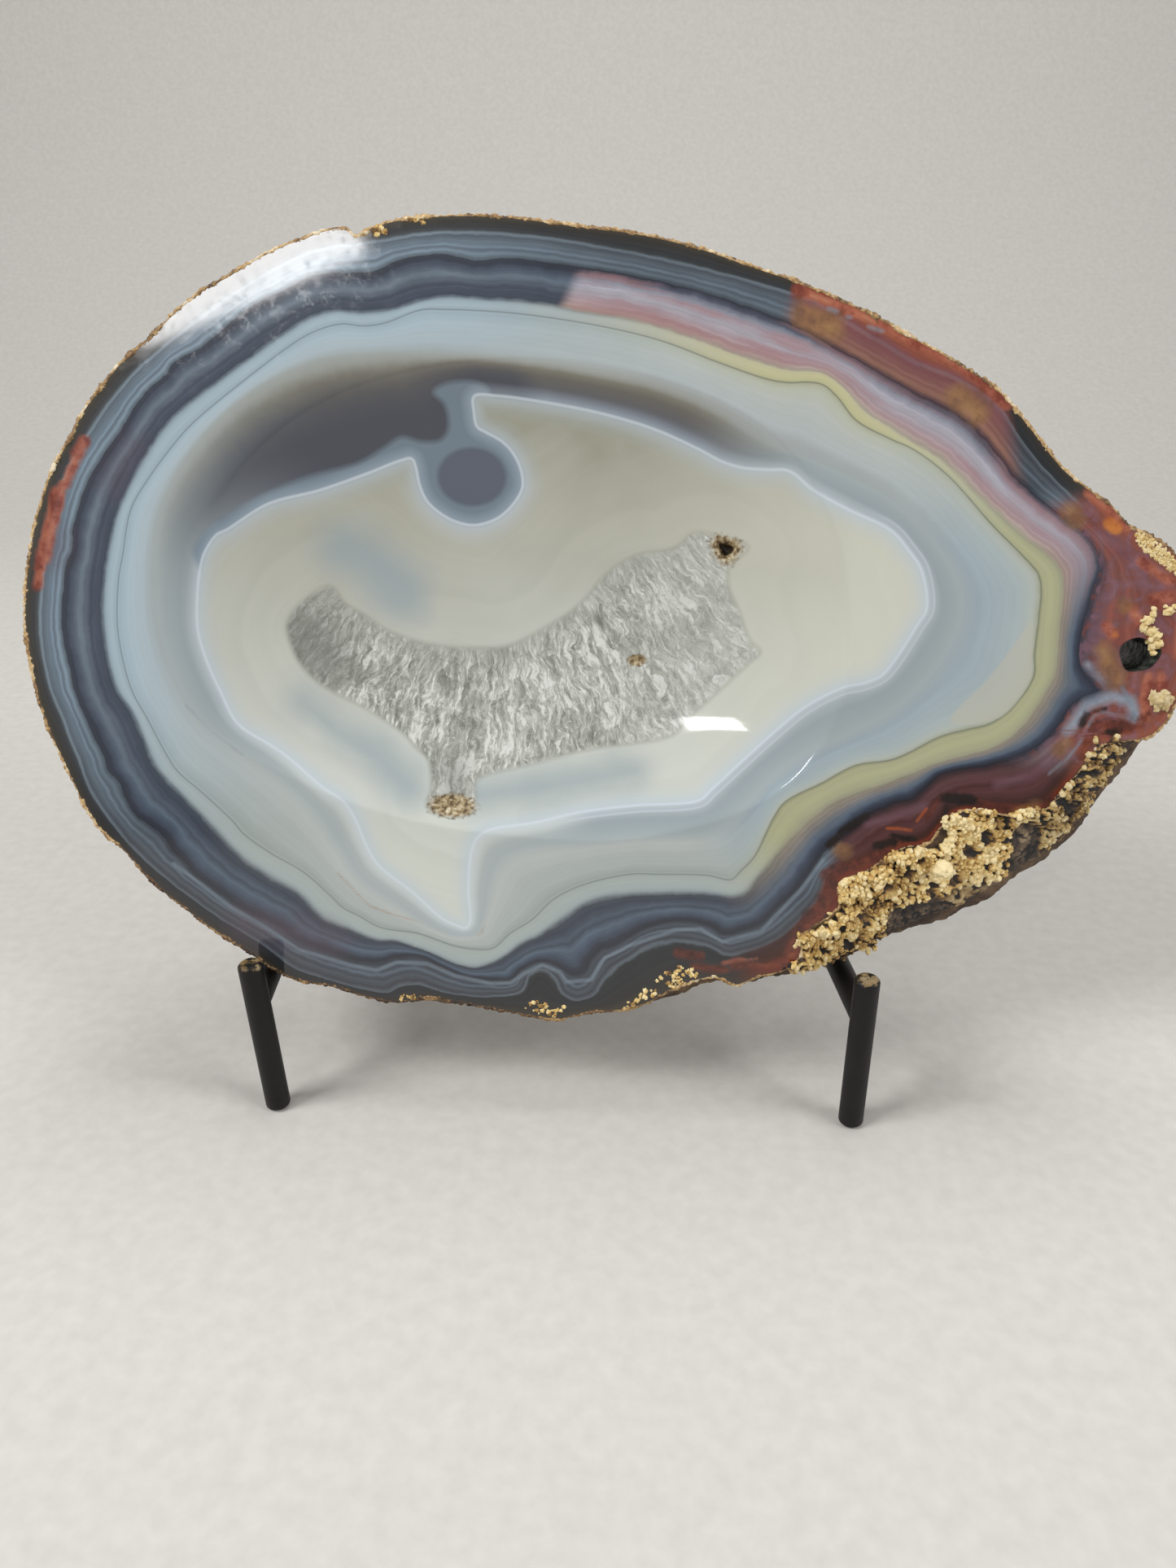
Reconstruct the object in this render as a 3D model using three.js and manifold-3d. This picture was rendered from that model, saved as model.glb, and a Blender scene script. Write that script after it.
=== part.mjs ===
// A banded agate dish on a small easel of black iron rod. Millimetres, +Z up, polished face towards -Y.
// The stone is one natural piece: a thick slice of a nodule with its front ground and polished into a
// shallow dish, its rind and knobbly crust left on, and its back left as the rough skin of the nodule.
// The easel is a pair of bent side rods with a stop post in front, a leg behind and two cross bars.
import * as THREE from 'three';
import { mergeVertices } from 'three/addons/utils/BufferGeometryUtils.js';
import Module from 'manifold-3d';

const wasm = await Module();
wasm.setup();

const DEG = Math.PI / 180;

// The easel, made by hand and not quite true: its left post leans out a little towards its top, and its
// back stands a little to the left of its posts. Its middle is between the tops of the two front posts.
const rodRadius = 2.4;
const rodSides = 16;
const postSpacing = 115;
const postHeight = 33.7;
const leftPostLean = 1.7;
const railHeight = 25;
const railFall = 5 * DEG;
const backShift = -3;
const bendReach = 10;
const uprightReach = 95;
const legTopReach = 80;
const legFootY = 80;
const upperBarReach = 68;
const lowerBarHeight = 20;
const gap = 0.3;

// The slice. u runs to the right across the face, v up it and n out of it.
const lean = 13 * DEG;
const faceFootY = 4;
const faceFootZ = 22;
const sliceThickness = 30;
const girdleDepth = 12;
const dishDepth = 11;
const middleU = 5;
const middleV = 68;
const ringPoints = 116;

// The edge of the polished face, going down the left side, along the foot and back over the top.
// The knobbly crust starts where the outline steps inward at the lower right.
const faceEdge = [
  [-98, 72], [-97.5, 65], [-97, 60.5], [-95.6, 54.5], [-93.4, 48], [-91.4, 43], [-89.4, 38], [-86.4, 33.4],
  [-82.6, 30], [-79.2, 25.6], [-75.6, 22], [-71.5, 18.7], [-67, 15], [-62.5, 12], [-58.5, 9.5], [-54.5, 6.6],
  [-50, 4.6], [-44, 3.8], [-38.5, 2.1], [-32.5, 0.8], [-28.5, 1.2], [-24, 1.8], [-17, 0.6], [-10, -0.5],
  [-4, -1.6], [0, -2], [6, -0.3], [12, 0.3], [17, 1.8], [21, 4.2], [24.5, 6], [30, 7.5], [34, 6], [38, 7.8],
  [42.5, 9], [45.6, 11.2], [46, 14], [47.4, 17.6], [51, 20.2], [52.8, 22.6], [52.6, 25.2], [53.4, 27.4],
  [57, 28.9], [60.6, 31.5], [63.5, 33.7], [68.2, 34.8], [70.4, 38], [73, 40.6], [77, 41.2], [84, 40.3],
  [88.5, 41.4], [91.2, 44.2], [93.4, 47.5], [95.7, 50.8], [98, 53.6], [101.5, 54.6], [105.5, 55], [108.4, 57.6],
  [110, 61.5], [110.9, 66], [111.3, 71], [111.2, 76], [110.2, 80.5], [108.6, 84.5], [106.6, 87.6],
  [103, 90], [98.4, 92.2], [95.2, 95.4], [91, 98.2], [86.8, 101.2], [83, 105.2], [79.8, 108.8], [76.8, 112],
  [73.6, 114.9], [69, 117.6], [64.4, 120.2], [58.6, 123.1], [53, 126], [46.5, 128.8], [39.5, 131.5],
  [31.5, 134], [23.5, 136.6], [13, 138.9], [3, 140.1], [-8, 141.4], [-18, 141.8], [-28.5, 140.9],
  [-32.5, 139.6], [-34.6, 138.4], [-37, 139.8], [-44.5, 138], [-51, 135.4], [-57, 132.2], [-62, 129.6],
  [-67, 126], [-72, 121.6], [-77, 117.8], [-80.5, 114], [-84, 110], [-86.6, 105.6], [-90, 100.8],
  [-92.4, 95.6], [-94.6, 90.2], [-96.1, 84.5], [-97.4, 78],
];

// The widest line of the nodule, girdleDepth behind the face. It bulges most under the lower right.
const girdle = [
  [-99.8, 70], [-98.6, 57], [-93.6, 42.6], [-86.6, 30], [-76, 19.8], [-66, 12.9], [-57, 7.2], [-45, 1.6],
  [-31, -2], [-14, -4], [2, -5], [16, -3], [27, 0.6], [38, 2.6], [48, 4.8], [56, 7.6], [64, 11.6], [73, 15],
  [82, 19.6], [90, 25.6], [95, 29.6], [99.4, 35], [103.6, 42], [107.4, 48.6], [110.8, 56], [112.4, 64],
  [112.8, 73], [111.4, 82], [107.4, 89.4], [97, 96.6], [86.6, 104], [76, 114.6], [60, 124.2], [41, 132.6],
  [22, 138.6], [0, 142], [-20, 143.4], [-44, 139.4], [-63, 131], [-79, 118.2], [-91, 102.6], [-97.6, 86],
];

// The rim of the ground hollow.
const hollowRim = [
  [-69.5, 76], [-67.5, 62], [-61.7, 52], [-47.7, 43.5], [-28, 36.9], [-5.4, 34], [10, 33.8], [22, 35.8],
  [36, 40.8], [45.8, 48.5], [51, 60], [52.7, 74], [51, 85], [47, 95], [40, 104.5], [29, 112], [14, 117],
  [-4, 119.5], [-24, 118], [-42, 112.5], [-56, 103], [-66, 90],
];

// Small holes in the front: an open pocket in the quartz, a drusy hollow at its foot and two by the tip.
const pits = [
  { u: 29.6, v: 87.6, width: 5.2, height: 4.2, depth: 2.4 },
  { u: -20, v: 40.2, width: 8.4, height: 4, depth: 1.2 },
  { u: 14, v: 67.6, width: 4.6, height: 3, depth: 0.8 },
  { u: 99.4, v: 55.4, width: 5.4, height: 2.4, depth: 3 },
];
const tipHole = { u: 102.8, v: 69.9, width: 6.4, height: 6.6 };

// The crust: rounded lumps along the sloping skin at the lower right, in three rough rows.
const crust = { from: -49, to: -7, rows: 3, perRow: 12, smallest: 1.7, largest: 3.4 };

// Turns a closed outline into its distance from the middle of the stone, by direction.
function reachOf(outline) {
  const curve = new THREE.CatmullRomCurve3(outline.map(([u, v]) => new THREE.Vector3(u, v, 0)), true, 'centripetal');
  const samples = curve.getSpacedPoints(1600).map((p) => {
    const across = p.x - middleU;
    const up = p.y - middleV;
    return { angle: Math.atan2(up, across), reach: Math.hypot(across, up) };
  });
  samples.sort((a, b) => a.angle - b.angle);
  return (angle) => {
    const turned = Math.atan2(Math.sin(angle), Math.cos(angle));
    let high = samples.findIndex((s) => s.angle >= turned);
    if (high < 0) high = 0;
    const after = samples[high];
    const before = samples[(high + samples.length - 1) % samples.length];
    const span = after.angle - before.angle;
    const share = span > 0 ? (turned - before.angle) / span : 0;
    return before.reach + (after.reach - before.reach) * share;
  };
}

const edgeReach = reachOf(faceEdge);
const girdleReach = reachOf(girdle);
const rimReach = reachOf(hollowRim);

// The girdle evened out over 50 degrees, which the rounded back takes on towards its middle.
const backReach = (angle) => {
  const around = [-25, -15, -5, 5, 15, 25].map((step) => girdleReach(angle + step * DEG));
  return around.reduce((sum, reach) => sum + reach) / around.length;
};

// How deep the ground hollow is at a share of the way from the middle to its rim.
const hollowAt = (share) => -dishDepth * (1 - Math.min(share, 1) ** 2.2);

function surfaceAt(u, v) {
  const angle = Math.atan2(v - middleV, u - middleU);
  return hollowAt(Math.hypot(u - middleU, v - middleV) / rimReach(angle));
}

// Low swells and hollows of the natural skin, within about 1.7 mm, over 40, 24 and 14 mm.
function swell(u, v, n) {
  return 0.7 * Math.sin(0.15 * u + 0.1 * n + 0.6) * Math.sin(0.17 * v + 1.1)
    + 0.6 * Math.sin(0.23 * u - 0.12 * v + 0.25 * n) * Math.cos(0.14 * u + 0.25 * v + 0.4)
    + 0.4 * Math.sin(0.37 * u + 0.3 * v - 0.3 * n + 2.1) * Math.sin(0.3 * u - 0.41 * v + 0.9);
}

// Joins closed rings of equal length from first to last, and closes both ends with a fan.
function skinOver(rings) {
  const count = rings[0].length;
  const positions = rings.flat().flatMap((p) => [p.x, p.y, p.z]);
  const index = [];
  for (let r = 0; r + 1 < rings.length; r += 1) {
    for (let i = 0; i < count; i += 1) {
      const here = r * count + i;
      const next = r * count + (i + 1) % count;
      index.push(here, here + count, next, next, here + count, next + count);
    }
  }
  for (const [ring, first, flip] of [[rings[0], 0, false], [rings.at(-1), (rings.length - 1) * count, true]]) {
    const centre = ring.reduce((sum, p) => sum.add(p), new THREE.Vector3()).divideScalar(count);
    const tip = positions.length / 3;
    positions.push(centre.x, centre.y, centre.z);
    for (let i = 0; i < count; i += 1) {
      const here = first + i;
      const next = first + (i + 1) % count;
      index.push(tip, flip ? next : here, flip ? here : next);
    }
  }
  const geometry = new THREE.BufferGeometry();
  geometry.setAttribute('position', new THREE.Float32BufferAttribute(positions, 3));
  geometry.setIndex(index);
  return geometry;
}

function toSolid(geometry) {
  const bare = geometry.clone();
  bare.deleteAttribute('normal');
  bare.deleteAttribute('uv');
  const merged = mergeVertices(bare, 1e-4);
  return new wasm.Manifold(new wasm.Mesh({
    numProp: 3,
    vertProperties: new Float32Array(merged.attributes.position.array),
    triVerts: new Uint32Array(merged.index.array),
  }));
}

function toMesh(solid, name, material) {
  const cut = solid.getMesh();
  const geometry = new THREE.BufferGeometry();
  geometry.setAttribute('position', new THREE.BufferAttribute(new Float32Array(cut.vertProperties), 3));
  geometry.setIndex(new THREE.BufferAttribute(new Uint32Array(cut.triVerts), 1));
  geometry.computeVertexNormals();
  const mesh = new THREE.Mesh(geometry, material);
  mesh.name = name;
  return mesh;
}

// The stone: rings run out over the hollow and the polished face, round the edge and in over the back.
function stoneBody() {
  const angles = Array.from({ length: ringPoints }, (_, i) => -2 * Math.PI * i / ringPoints);
  const ring = (place, roughness = 0, depthRoughness = 0) => angles.map((angle) => {
    const { reach, n } = place(angle);
    const u = middleU + reach * Math.cos(angle);
    const v = middleV + reach * Math.sin(angle);
    const lift = swell(u, v, n);
    return new THREE.Vector3(
      u + roughness * lift * Math.cos(angle),
      v + roughness * lift * Math.sin(angle),
      n + depthRoughness * lift,
    );
  });
  const rings = [];
  for (const share of [0.2, 0.4, 0.6, 0.77, 0.9, 1]) {
    rings.push(ring((angle) => ({ reach: share * rimReach(angle), n: hollowAt(share) })));
  }
  rings.push(ring((angle) => ({ reach: edgeReach(angle), n: 0 })));
  for (const share of [0.14, 0.4, 0.7, 1]) {
    rings.push(ring((angle) => {
      const bulge = Math.sin(share * Math.PI / 2) * (girdleReach(angle) - edgeReach(angle));
      return { reach: edgeReach(angle) + bulge, n: -girdleDepth * share };
    }, share));
  }
  for (const turn of [16, 29, 41, 51, 60, 68, 75, 81, 86, 89]) {
    const narrowing = Math.cos(turn * DEG) ** 0.55;
    const n = -girdleDepth - (sliceThickness - girdleDepth) * Math.sin(turn * DEG) ** 0.9;
    const evened = Math.min(turn / 60, 1);
    const backRoughness = 0.8 * Math.sin(2 * turn * DEG);
    rings.push(ring((angle) => {
      const reach = (1 - evened) * girdleReach(angle) + evened * backReach(angle);
      return { reach: narrowing * reach, n };
    }, 1 - 0.7 * evened, backRoughness));
  }
  return toSolid(skinOver(rings.reverse()));
}

// A lump, or the cutter of a small hollow: a squashed ball on the face.
function ball(u, v, n, width, height, depth) {
  const geometry = new THREE.IcosahedronGeometry(0.5, 1);
  geometry.scale(width, height, depth);
  geometry.rotateZ(u + v);
  geometry.translate(u, v, n);
  return toSolid(geometry);
}

function crustLumps() {
  const lumps = [];
  const goldenStep = 0.618;
  for (let row = 0; row < crust.rows; row += 1) {
    for (let k = 0; k < crust.perRow; k += 1) {
      const scatter = ((row * crust.perRow + k) * goldenStep) % 1;
      const angle = (crust.from + (crust.to - crust.from) * (k + 0.5 * (row % 2)) / crust.perRow) * DEG;
      const radius = crust.smallest + (crust.largest - crust.smallest) * scatter;
      const share = 0.06 + 0.15 * row + 0.08 * scatter;
      const bulge = Math.sin(share * Math.PI / 2) * (girdleReach(angle) - edgeReach(angle));
      const reach = edgeReach(angle) + bulge;
      const n = Math.min(-girdleDepth * share, -0.6 * radius);
      const u = middleU + reach * Math.cos(angle);
      const v = middleV + reach * Math.sin(angle);
      lumps.push(ball(u, v, n, 2.2 * radius, 2 * radius, 2 * radius));
    }
  }
  return lumps;
}

function agate(material) {
  let stone = stoneBody();
  for (const lump of crustLumps()) stone = stone.add(lump);
  for (const pit of pits) {
    stone = stone.subtract(ball(pit.u, pit.v, surfaceAt(pit.u, pit.v), pit.width, pit.height, 2 * pit.depth));
  }
  const bore = new THREE.CylinderGeometry(0.5, 0.42, 80, 9);
  bore.rotateX(Math.PI / 2);
  bore.scale(tipHole.width, tipHole.height, 1);
  bore.translate(tipHole.u, tipHole.v, 0);
  // Closed pockets between the lumps are separate shells, so the largest shell is the solid stone.
  const shells = stone.subtract(toSolid(bore)).decompose();
  const [outer] = shells.sort((a, b) => b.volume() - a.volume());
  return toMesh(outer, 'agate', material);
}

// A round rod along a path. Its last end is cut square, or level where it stands on the table.
function rod(path, { radius = rodRadius, levelEnd = false } = {}) {
  const rings = path.map((point, k) => {
    const before = path[Math.max(k - 1, 0)];
    const after = path[Math.min(k + 1, path.length - 1)];
    const along = after.clone().sub(before).normalize();
    if (levelEnd && k === path.length - 1) along.set(0, 0, -1);
    const aside = Math.abs(along.x) > 0.9 ? new THREE.Vector3(0, 1, 0) : new THREE.Vector3(1, 0, 0);
    const third = along.clone().cross(aside).normalize();
    const across = third.clone().cross(along);
    return Array.from({ length: rodSides }, (_, i) => {
      const turn = 2 * Math.PI * i / rodSides;
      return point.clone()
        .addScaledVector(across, radius * Math.cos(turn))
        .addScaledVector(third, radius * Math.sin(turn));
    });
  });
  return toSolid(skinOver(rings.reverse()));
}

// A point near the leaning back of the slice, from its place up the face and in front of it.
function offFace(x, v, n) {
  return new THREE.Vector3(
    x,
    faceFootY + v * Math.sin(lean) - n * Math.cos(lean),
    faceFootZ + v * Math.cos(lean) + n * Math.sin(lean),
  );
}

// One side of the easel: a stop post, a rod that runs back from it and bends up behind the slice, and a leg.
function easelSide(side, x, postLean, material) {
  const uprightN = -sliceThickness - gap - rodRadius;
  const backX = x + backShift;
  const post = [new THREE.Vector3(x, 0, postHeight), new THREE.Vector3(x + postLean, 0, 0)];
  const postCope = rod(post, { radius: rodRadius + gap });

  const start = new THREE.Vector3(x + postLean * (1 - railHeight / postHeight), 0, railHeight);
  const foot = offFace(backX, 0, uprightN);
  const rise = start.z - foot.z - foot.y * Math.tan(railFall);
  const corner = offFace(backX, rise / (Math.cos(lean) + Math.sin(lean) * Math.tan(railFall)), uprightN);
  const top = offFace(backX, uprightReach, uprightN);
  const bend = new THREE.QuadraticBezierCurve3(
    corner.clone().addScaledVector(start.clone().sub(corner).normalize(), bendReach),
    corner,
    corner.clone().addScaledVector(top.clone().sub(corner).normalize(), bendReach),
  );
  const sideRod = rod([start, ...bend.getPoints(6), top]);

  const legTop = offFace(backX, legTopReach, uprightN);
  const leg = rod([legTop, new THREE.Vector3(backX, legFootY, 0)], { levelEnd: true });
  const uprightCope = rod([offFace(backX, uprightReach - 60, uprightN), top], { radius: rodRadius + gap });

  const group = new THREE.Group();
  group.add(
    toMesh(rod(post, { levelEnd: true }), `${side}_front_post`, material),
    toMesh(sideRod.subtract(postCope), `${side}_side_rod`, material),
    toMesh(leg.subtract(uprightCope), `${side}_rear_leg`, material),
  );
  return group;
}

function crossBar(name, y, z, material) {
  const reach = postSpacing / 2 - rodRadius - gap;
  const path = [new THREE.Vector3(backShift - reach, y, z), new THREE.Vector3(backShift + reach, y, z)];
  return toMesh(rod(path), name, material);
}

function easel(material) {
  const uprightN = -sliceThickness - gap - rodRadius;
  const upper = offFace(0, upperBarReach, uprightN);
  const legTop = offFace(0, legTopReach, uprightN);
  const lowerY = legFootY + (legTop.y - legFootY) * lowerBarHeight / legTop.z;
  const group = new THREE.Group();
  group.add(
    easelSide('left', -postSpacing / 2, leftPostLean, material),
    easelSide('right', postSpacing / 2, 0, material),
    crossBar('upper_cross_bar', upper.y, upper.z, material),
    crossBar('lower_cross_bar', lowerY, lowerBarHeight, material),
  );
  return group;
}

const stoneMaterial = new THREE.MeshStandardMaterial({ color: 0x9aa8ae, roughness: 0.12, metalness: 0 });
const ironMaterial = new THREE.MeshStandardMaterial({ color: 0x1c1a1a, roughness: 0.5, metalness: 0.4 });

const slice = new THREE.Group();
slice.rotation.x = Math.PI / 2 - lean;
slice.position.set(0, faceFootY, faceFootZ);
slice.add(agate(stoneMaterial));

const dish = new THREE.Group();
dish.add(slice, easel(ironMaterial));
dish.updateMatrixWorld(true);
const bounds = new THREE.Box3().setFromObject(dish, true);
const centre = bounds.getCenter(new THREE.Vector3());
dish.position.set(-centre.x, -centre.y, -bounds.min.z);

export default dish;
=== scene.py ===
# A banded agate dish on a small easel of black iron rod. Metres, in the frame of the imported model.
import math

import bmesh
import bpy
import numpy as np
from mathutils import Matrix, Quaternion, Vector, noise


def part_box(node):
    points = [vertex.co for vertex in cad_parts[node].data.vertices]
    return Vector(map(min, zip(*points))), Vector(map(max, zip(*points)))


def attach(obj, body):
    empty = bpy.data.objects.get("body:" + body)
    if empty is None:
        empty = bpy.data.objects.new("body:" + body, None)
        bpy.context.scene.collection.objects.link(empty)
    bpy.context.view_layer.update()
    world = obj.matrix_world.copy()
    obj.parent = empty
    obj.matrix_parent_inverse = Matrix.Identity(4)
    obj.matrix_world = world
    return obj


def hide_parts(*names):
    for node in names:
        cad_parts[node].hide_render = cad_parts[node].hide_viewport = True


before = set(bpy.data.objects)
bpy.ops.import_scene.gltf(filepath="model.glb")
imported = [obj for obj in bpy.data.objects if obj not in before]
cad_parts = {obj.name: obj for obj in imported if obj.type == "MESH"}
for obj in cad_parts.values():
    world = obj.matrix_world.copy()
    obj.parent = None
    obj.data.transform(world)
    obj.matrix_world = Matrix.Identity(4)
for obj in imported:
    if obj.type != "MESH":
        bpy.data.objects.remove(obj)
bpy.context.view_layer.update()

# Where things stand. The slice leans back on its easel, and the middle between the tops of the two front
# posts is the point that everything is measured from. On the slice u runs to the right across the polished
# face, v up it and n out of it, all in millimetres.
MM = 0.001
POST_APART = 115
post_low, post_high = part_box("right_front_post")
middle_x = (post_low.x + post_high.x) / 2 / MM - POST_APART / 2
middle_y = (post_low.y + post_high.y) / 2 / MM
LEAN = math.radians(13)
FACE_FOOT_Y = 4
FACE_FOOT_Z = 22


def off_face(u, v, n):
    """Points in metres from places on the slice in millimetres. Each may be a number or an array."""
    u, v, n = np.broadcast_arrays(u, v, n)
    x = middle_x + u
    y = middle_y + FACE_FOOT_Y + v * math.sin(LEAN) - n * math.cos(LEAN)
    z = FACE_FOOT_Z + v * math.cos(LEAN) + n * math.sin(LEAN)
    return np.stack([x, y, z], -1) * MM


# The camera stands where the photograph's did, a hand's breadth above the slice and looking down on it,
# with the short wide lens of a phone.
CAMERA_U, CAMERA_V, CAMERA_N = 14, 91, 212.4
PITCH = math.radians(25.3)
YAW = math.radians(-2.5)
LENS = 27.03
SENSOR_WIDTH = 36
NEAREST_SEEN = 10
camera_data = bpy.data.cameras.new("camera")
camera_data.lens = LENS
camera_data.sensor_width = SENSOR_WIDTH
camera_data.clip_start = NEAREST_SEEN * MM
camera = bpy.data.objects.new("camera", camera_data)
camera.location = off_face(CAMERA_U, CAMERA_V, CAMERA_N)
camera.rotation_euler = (math.pi / 2 - PITCH, 0, -YAW)
bpy.context.scene.collection.objects.link(camera)
bpy.context.scene.camera = camera
bpy.context.scene.view_settings.view_transform = "Standard"

# The outlines of the slice, as a stonecutter would see them from the front: the edge of the polished face,
# the widest line of the nodule 12 mm behind it, and the rim of the shallow hollow that is ground into it.
FACE_EDGE = [
    (-98, 72), (-97.5, 65), (-97, 60.5), (-95.6, 54.5), (-93.4, 48), (-91.4, 43), (-89.4, 38),
    (-86.4, 33.4), (-82.6, 30), (-79.2, 25.6), (-75.6, 22), (-71.5, 18.7), (-67, 15), (-62.5, 12),
    (-58.5, 9.5), (-54.5, 6.6), (-50, 4.6), (-44, 3.8), (-38.5, 2.1), (-32.5, 0.8), (-28.5, 1.2),
    (-24, 1.8), (-17, 0.6), (-10, -0.5), (-4, -1.6), (0, -2), (6, -0.3), (12, 0.3), (17, 1.8), (21, 4.2),
    (24.5, 6), (30, 7.5), (34, 6), (38, 7.8), (42.5, 9), (45.6, 11.2), (46, 14), (47.4, 17.6), (51, 20.2),
    (52.8, 22.6), (52.6, 25.2), (53.4, 27.4), (57, 28.9), (60.6, 31.5), (63.5, 33.7), (68.2, 34.8),
    (70.4, 38), (73, 40.6), (77, 41.2), (84, 40.3), (88.5, 41.4), (91.2, 44.2), (93.4, 47.5), (95.7, 50.8),
    (98, 53.6), (101.5, 54.6), (105.5, 55), (108.4, 57.6), (110, 61.5), (110.9, 66), (111.3, 71),
    (111.2, 76), (110.2, 80.5), (108.6, 84.5), (106.6, 87.6), (103, 90), (98.4, 92.2), (95.2, 95.4),
    (91, 98.2), (86.8, 101.2), (83, 105.2), (79.8, 108.8), (76.8, 112), (73.6, 114.9), (69, 117.6),
    (64.4, 120.2), (58.6, 123.1), (53, 126), (46.5, 128.8), (39.5, 131.5), (31.5, 134), (23.5, 136.6),
    (13, 138.9), (3, 140.1), (-8, 141.4), (-18, 141.8), (-28.5, 140.9), (-32.5, 139.6), (-34.6, 138.4),
    (-37, 139.8), (-44.5, 138), (-51, 135.4), (-57, 132.2), (-62, 129.6), (-67, 126), (-72, 121.6),
    (-77, 117.8), (-80.5, 114), (-84, 110), (-86.6, 105.6), (-90, 100.8), (-92.4, 95.6), (-94.6, 90.2),
    (-96.1, 84.5), (-97.4, 78),
]
GIRDLE = [
    (-99.8, 70), (-98.6, 57), (-93.6, 42.6), (-86.6, 30), (-76, 19.8), (-66, 12.9), (-57, 7.2), (-45, 1.6),
    (-31, -2), (-14, -4), (2, -5), (16, -3), (27, 0.6), (38, 2.6), (48, 4.8), (56, 7.6), (64, 11.6), (73, 15),
    (82, 19.6), (90, 25.6), (95, 29.6), (99.4, 35), (103.6, 42), (107.4, 48.6), (110.8, 56), (112.4, 64),
    (112.8, 73), (111.4, 82), (107.4, 89.4), (97, 96.6), (86.6, 104), (76, 114.6), (60, 124.2), (41, 132.6),
    (22, 138.6), (0, 142), (-20, 143.4), (-44, 139.4), (-63, 131), (-79, 118.2), (-91, 102.6), (-97.6, 86),
]
HOLLOW_RIM = [
    (-69.5, 76), (-67.5, 62), (-61.7, 52), (-47.7, 43.5), (-28, 36.9), (-5.4, 34), (10, 33.8), (22, 35.8),
    (36, 40.8), (45.8, 48.5), (51, 60), (52.7, 74), (51, 85), (47, 95), (40, 104.5), (29, 112), (14, 117),
    (-4, 119.5), (-24, 118), (-42, 112.5), (-56, 103), (-66, 90),
]
HEART_U = 5
HEART_V = 68
THICKNESS = 30
GIRDLE_DEPTH = 12
HOLLOW_DEPTH = 11
HOLLOW_CURVE = 2.2    # a little flatter in the middle than a ball would grind it
RIM_ROUNDING = 0.35


def smooth_loop(points, spacing=0.5, cuts=24):
    """A closed loop through the points, a centripetal Catmull-Rom curve cut into even steps."""
    p = np.array(points, float)
    p0, p1, p2, p3 = np.roll(p, 1, 0), p, np.roll(p, -1, 0), np.roll(p, -2, 0)
    a, b, c = (np.linalg.norm(q - r, axis=1)[:, None] ** 0.5 for q, r in ((p1, p0), (p2, p1), (p3, p2)))
    leave = ((p1 - p0) / a - (p2 - p0) / (a + b) + (p2 - p1) / b) * b
    arrive = ((p2 - p1) / b - (p3 - p1) / (b + c) + (p3 - p2) / c) * b
    t = np.linspace(0, 1, cuts, endpoint=False)[None, :, None]
    cubic = (2 * p1 - 2 * p2 + leave + arrive)[:, None] * t**3
    square = (3 * p2 - 3 * p1 - 2 * leave - arrive)[:, None] * t**2
    fine = (cubic + square + leave[:, None] * t + p1[:, None]).reshape(-1, 2)
    closed = np.vstack([fine, fine[:1]])
    along = np.concatenate([[0], np.cumsum(np.linalg.norm(np.diff(closed, axis=0), axis=1))])
    at = np.arange(0, along[-1], spacing)
    return np.stack([np.interp(at, along, closed[:, k]) for k in (0, 1)], 1)


def reach_of(points):
    """The outline as a distance from the middle of the slice, by direction."""
    offset = smooth_loop(points, 0.3) - (HEART_U, HEART_V)
    angle = np.arctan2(offset[:, 1], offset[:, 0])
    order = np.argsort(angle)
    reach = np.hypot(offset[:, 0], offset[:, 1])[order]
    return lambda turn: np.interp(turn, angle[order], reach, period=2 * math.pi)


edge_reach = reach_of(FACE_EDGE)
girdle_reach = reach_of(GIRDLE)
rim_reach = reach_of(HOLLOW_RIM)

# Small hollows in the front, each as u, v, width, height and depth: a drusy one at the foot of the quartz and
# a chip in its middle. An open three-cornered pocket lies at the upper corner of the quartz, and an uneven
# hole goes right through the tip.
DRUSY_FOOT = (-19.8, 40, 9, 4.6, 0.5)
CHIP = (14, 67.6, 3.4, 2.2, 0.5)
POCKET = [(28, 88.5), (30.9, 87.6), (29.3, 86.1)]
POCKET_DEPTH = 2.5
HOLE_U = 102.8
HOLE_V = 69.9
HOLE_RADIUS = 3.25


def soft(value, low, high):
    """0 below low and 1 above high, with an even curve between them."""
    share = np.clip((value - low) / (high - low), 0, 1)
    return share * share * (3 - 2 * share)


def off_centre(u, v, hollow):
    """How far a place is from the middle of a small hollow, with 1 at its edge."""
    return np.hypot((u - hollow[0]) / (hollow[2] / 2), (v - hollow[1]) / (hollow[3] / 2))


def hole_reach(angle):
    """The outline of the hole through the tip, as a distance from its middle by direction."""
    uneven = 0.3 * np.cos(2 * angle) + 0.2 * np.sin(3 * angle + 1) + 0.12 * np.sin(5 * angle)
    return HOLE_RADIUS + uneven


def off_hole(u, v):
    """How far a place is from the middle of the hole through the tip, with 1 at its edge."""
    return np.hypot(u - HOLE_U, v - HOLE_V) / hole_reach(np.arctan2(v - HOLE_V, u - HOLE_U))


def as_traced(u, v, n):
    """The place on the plane of the face that a point of the stone stands behind, as the camera sees it."""
    toward = CAMERA_N / (CAMERA_N - n)
    return CAMERA_U + (u - CAMERA_U) * toward, CAMERA_V + (v - CAMERA_V) * toward


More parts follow.
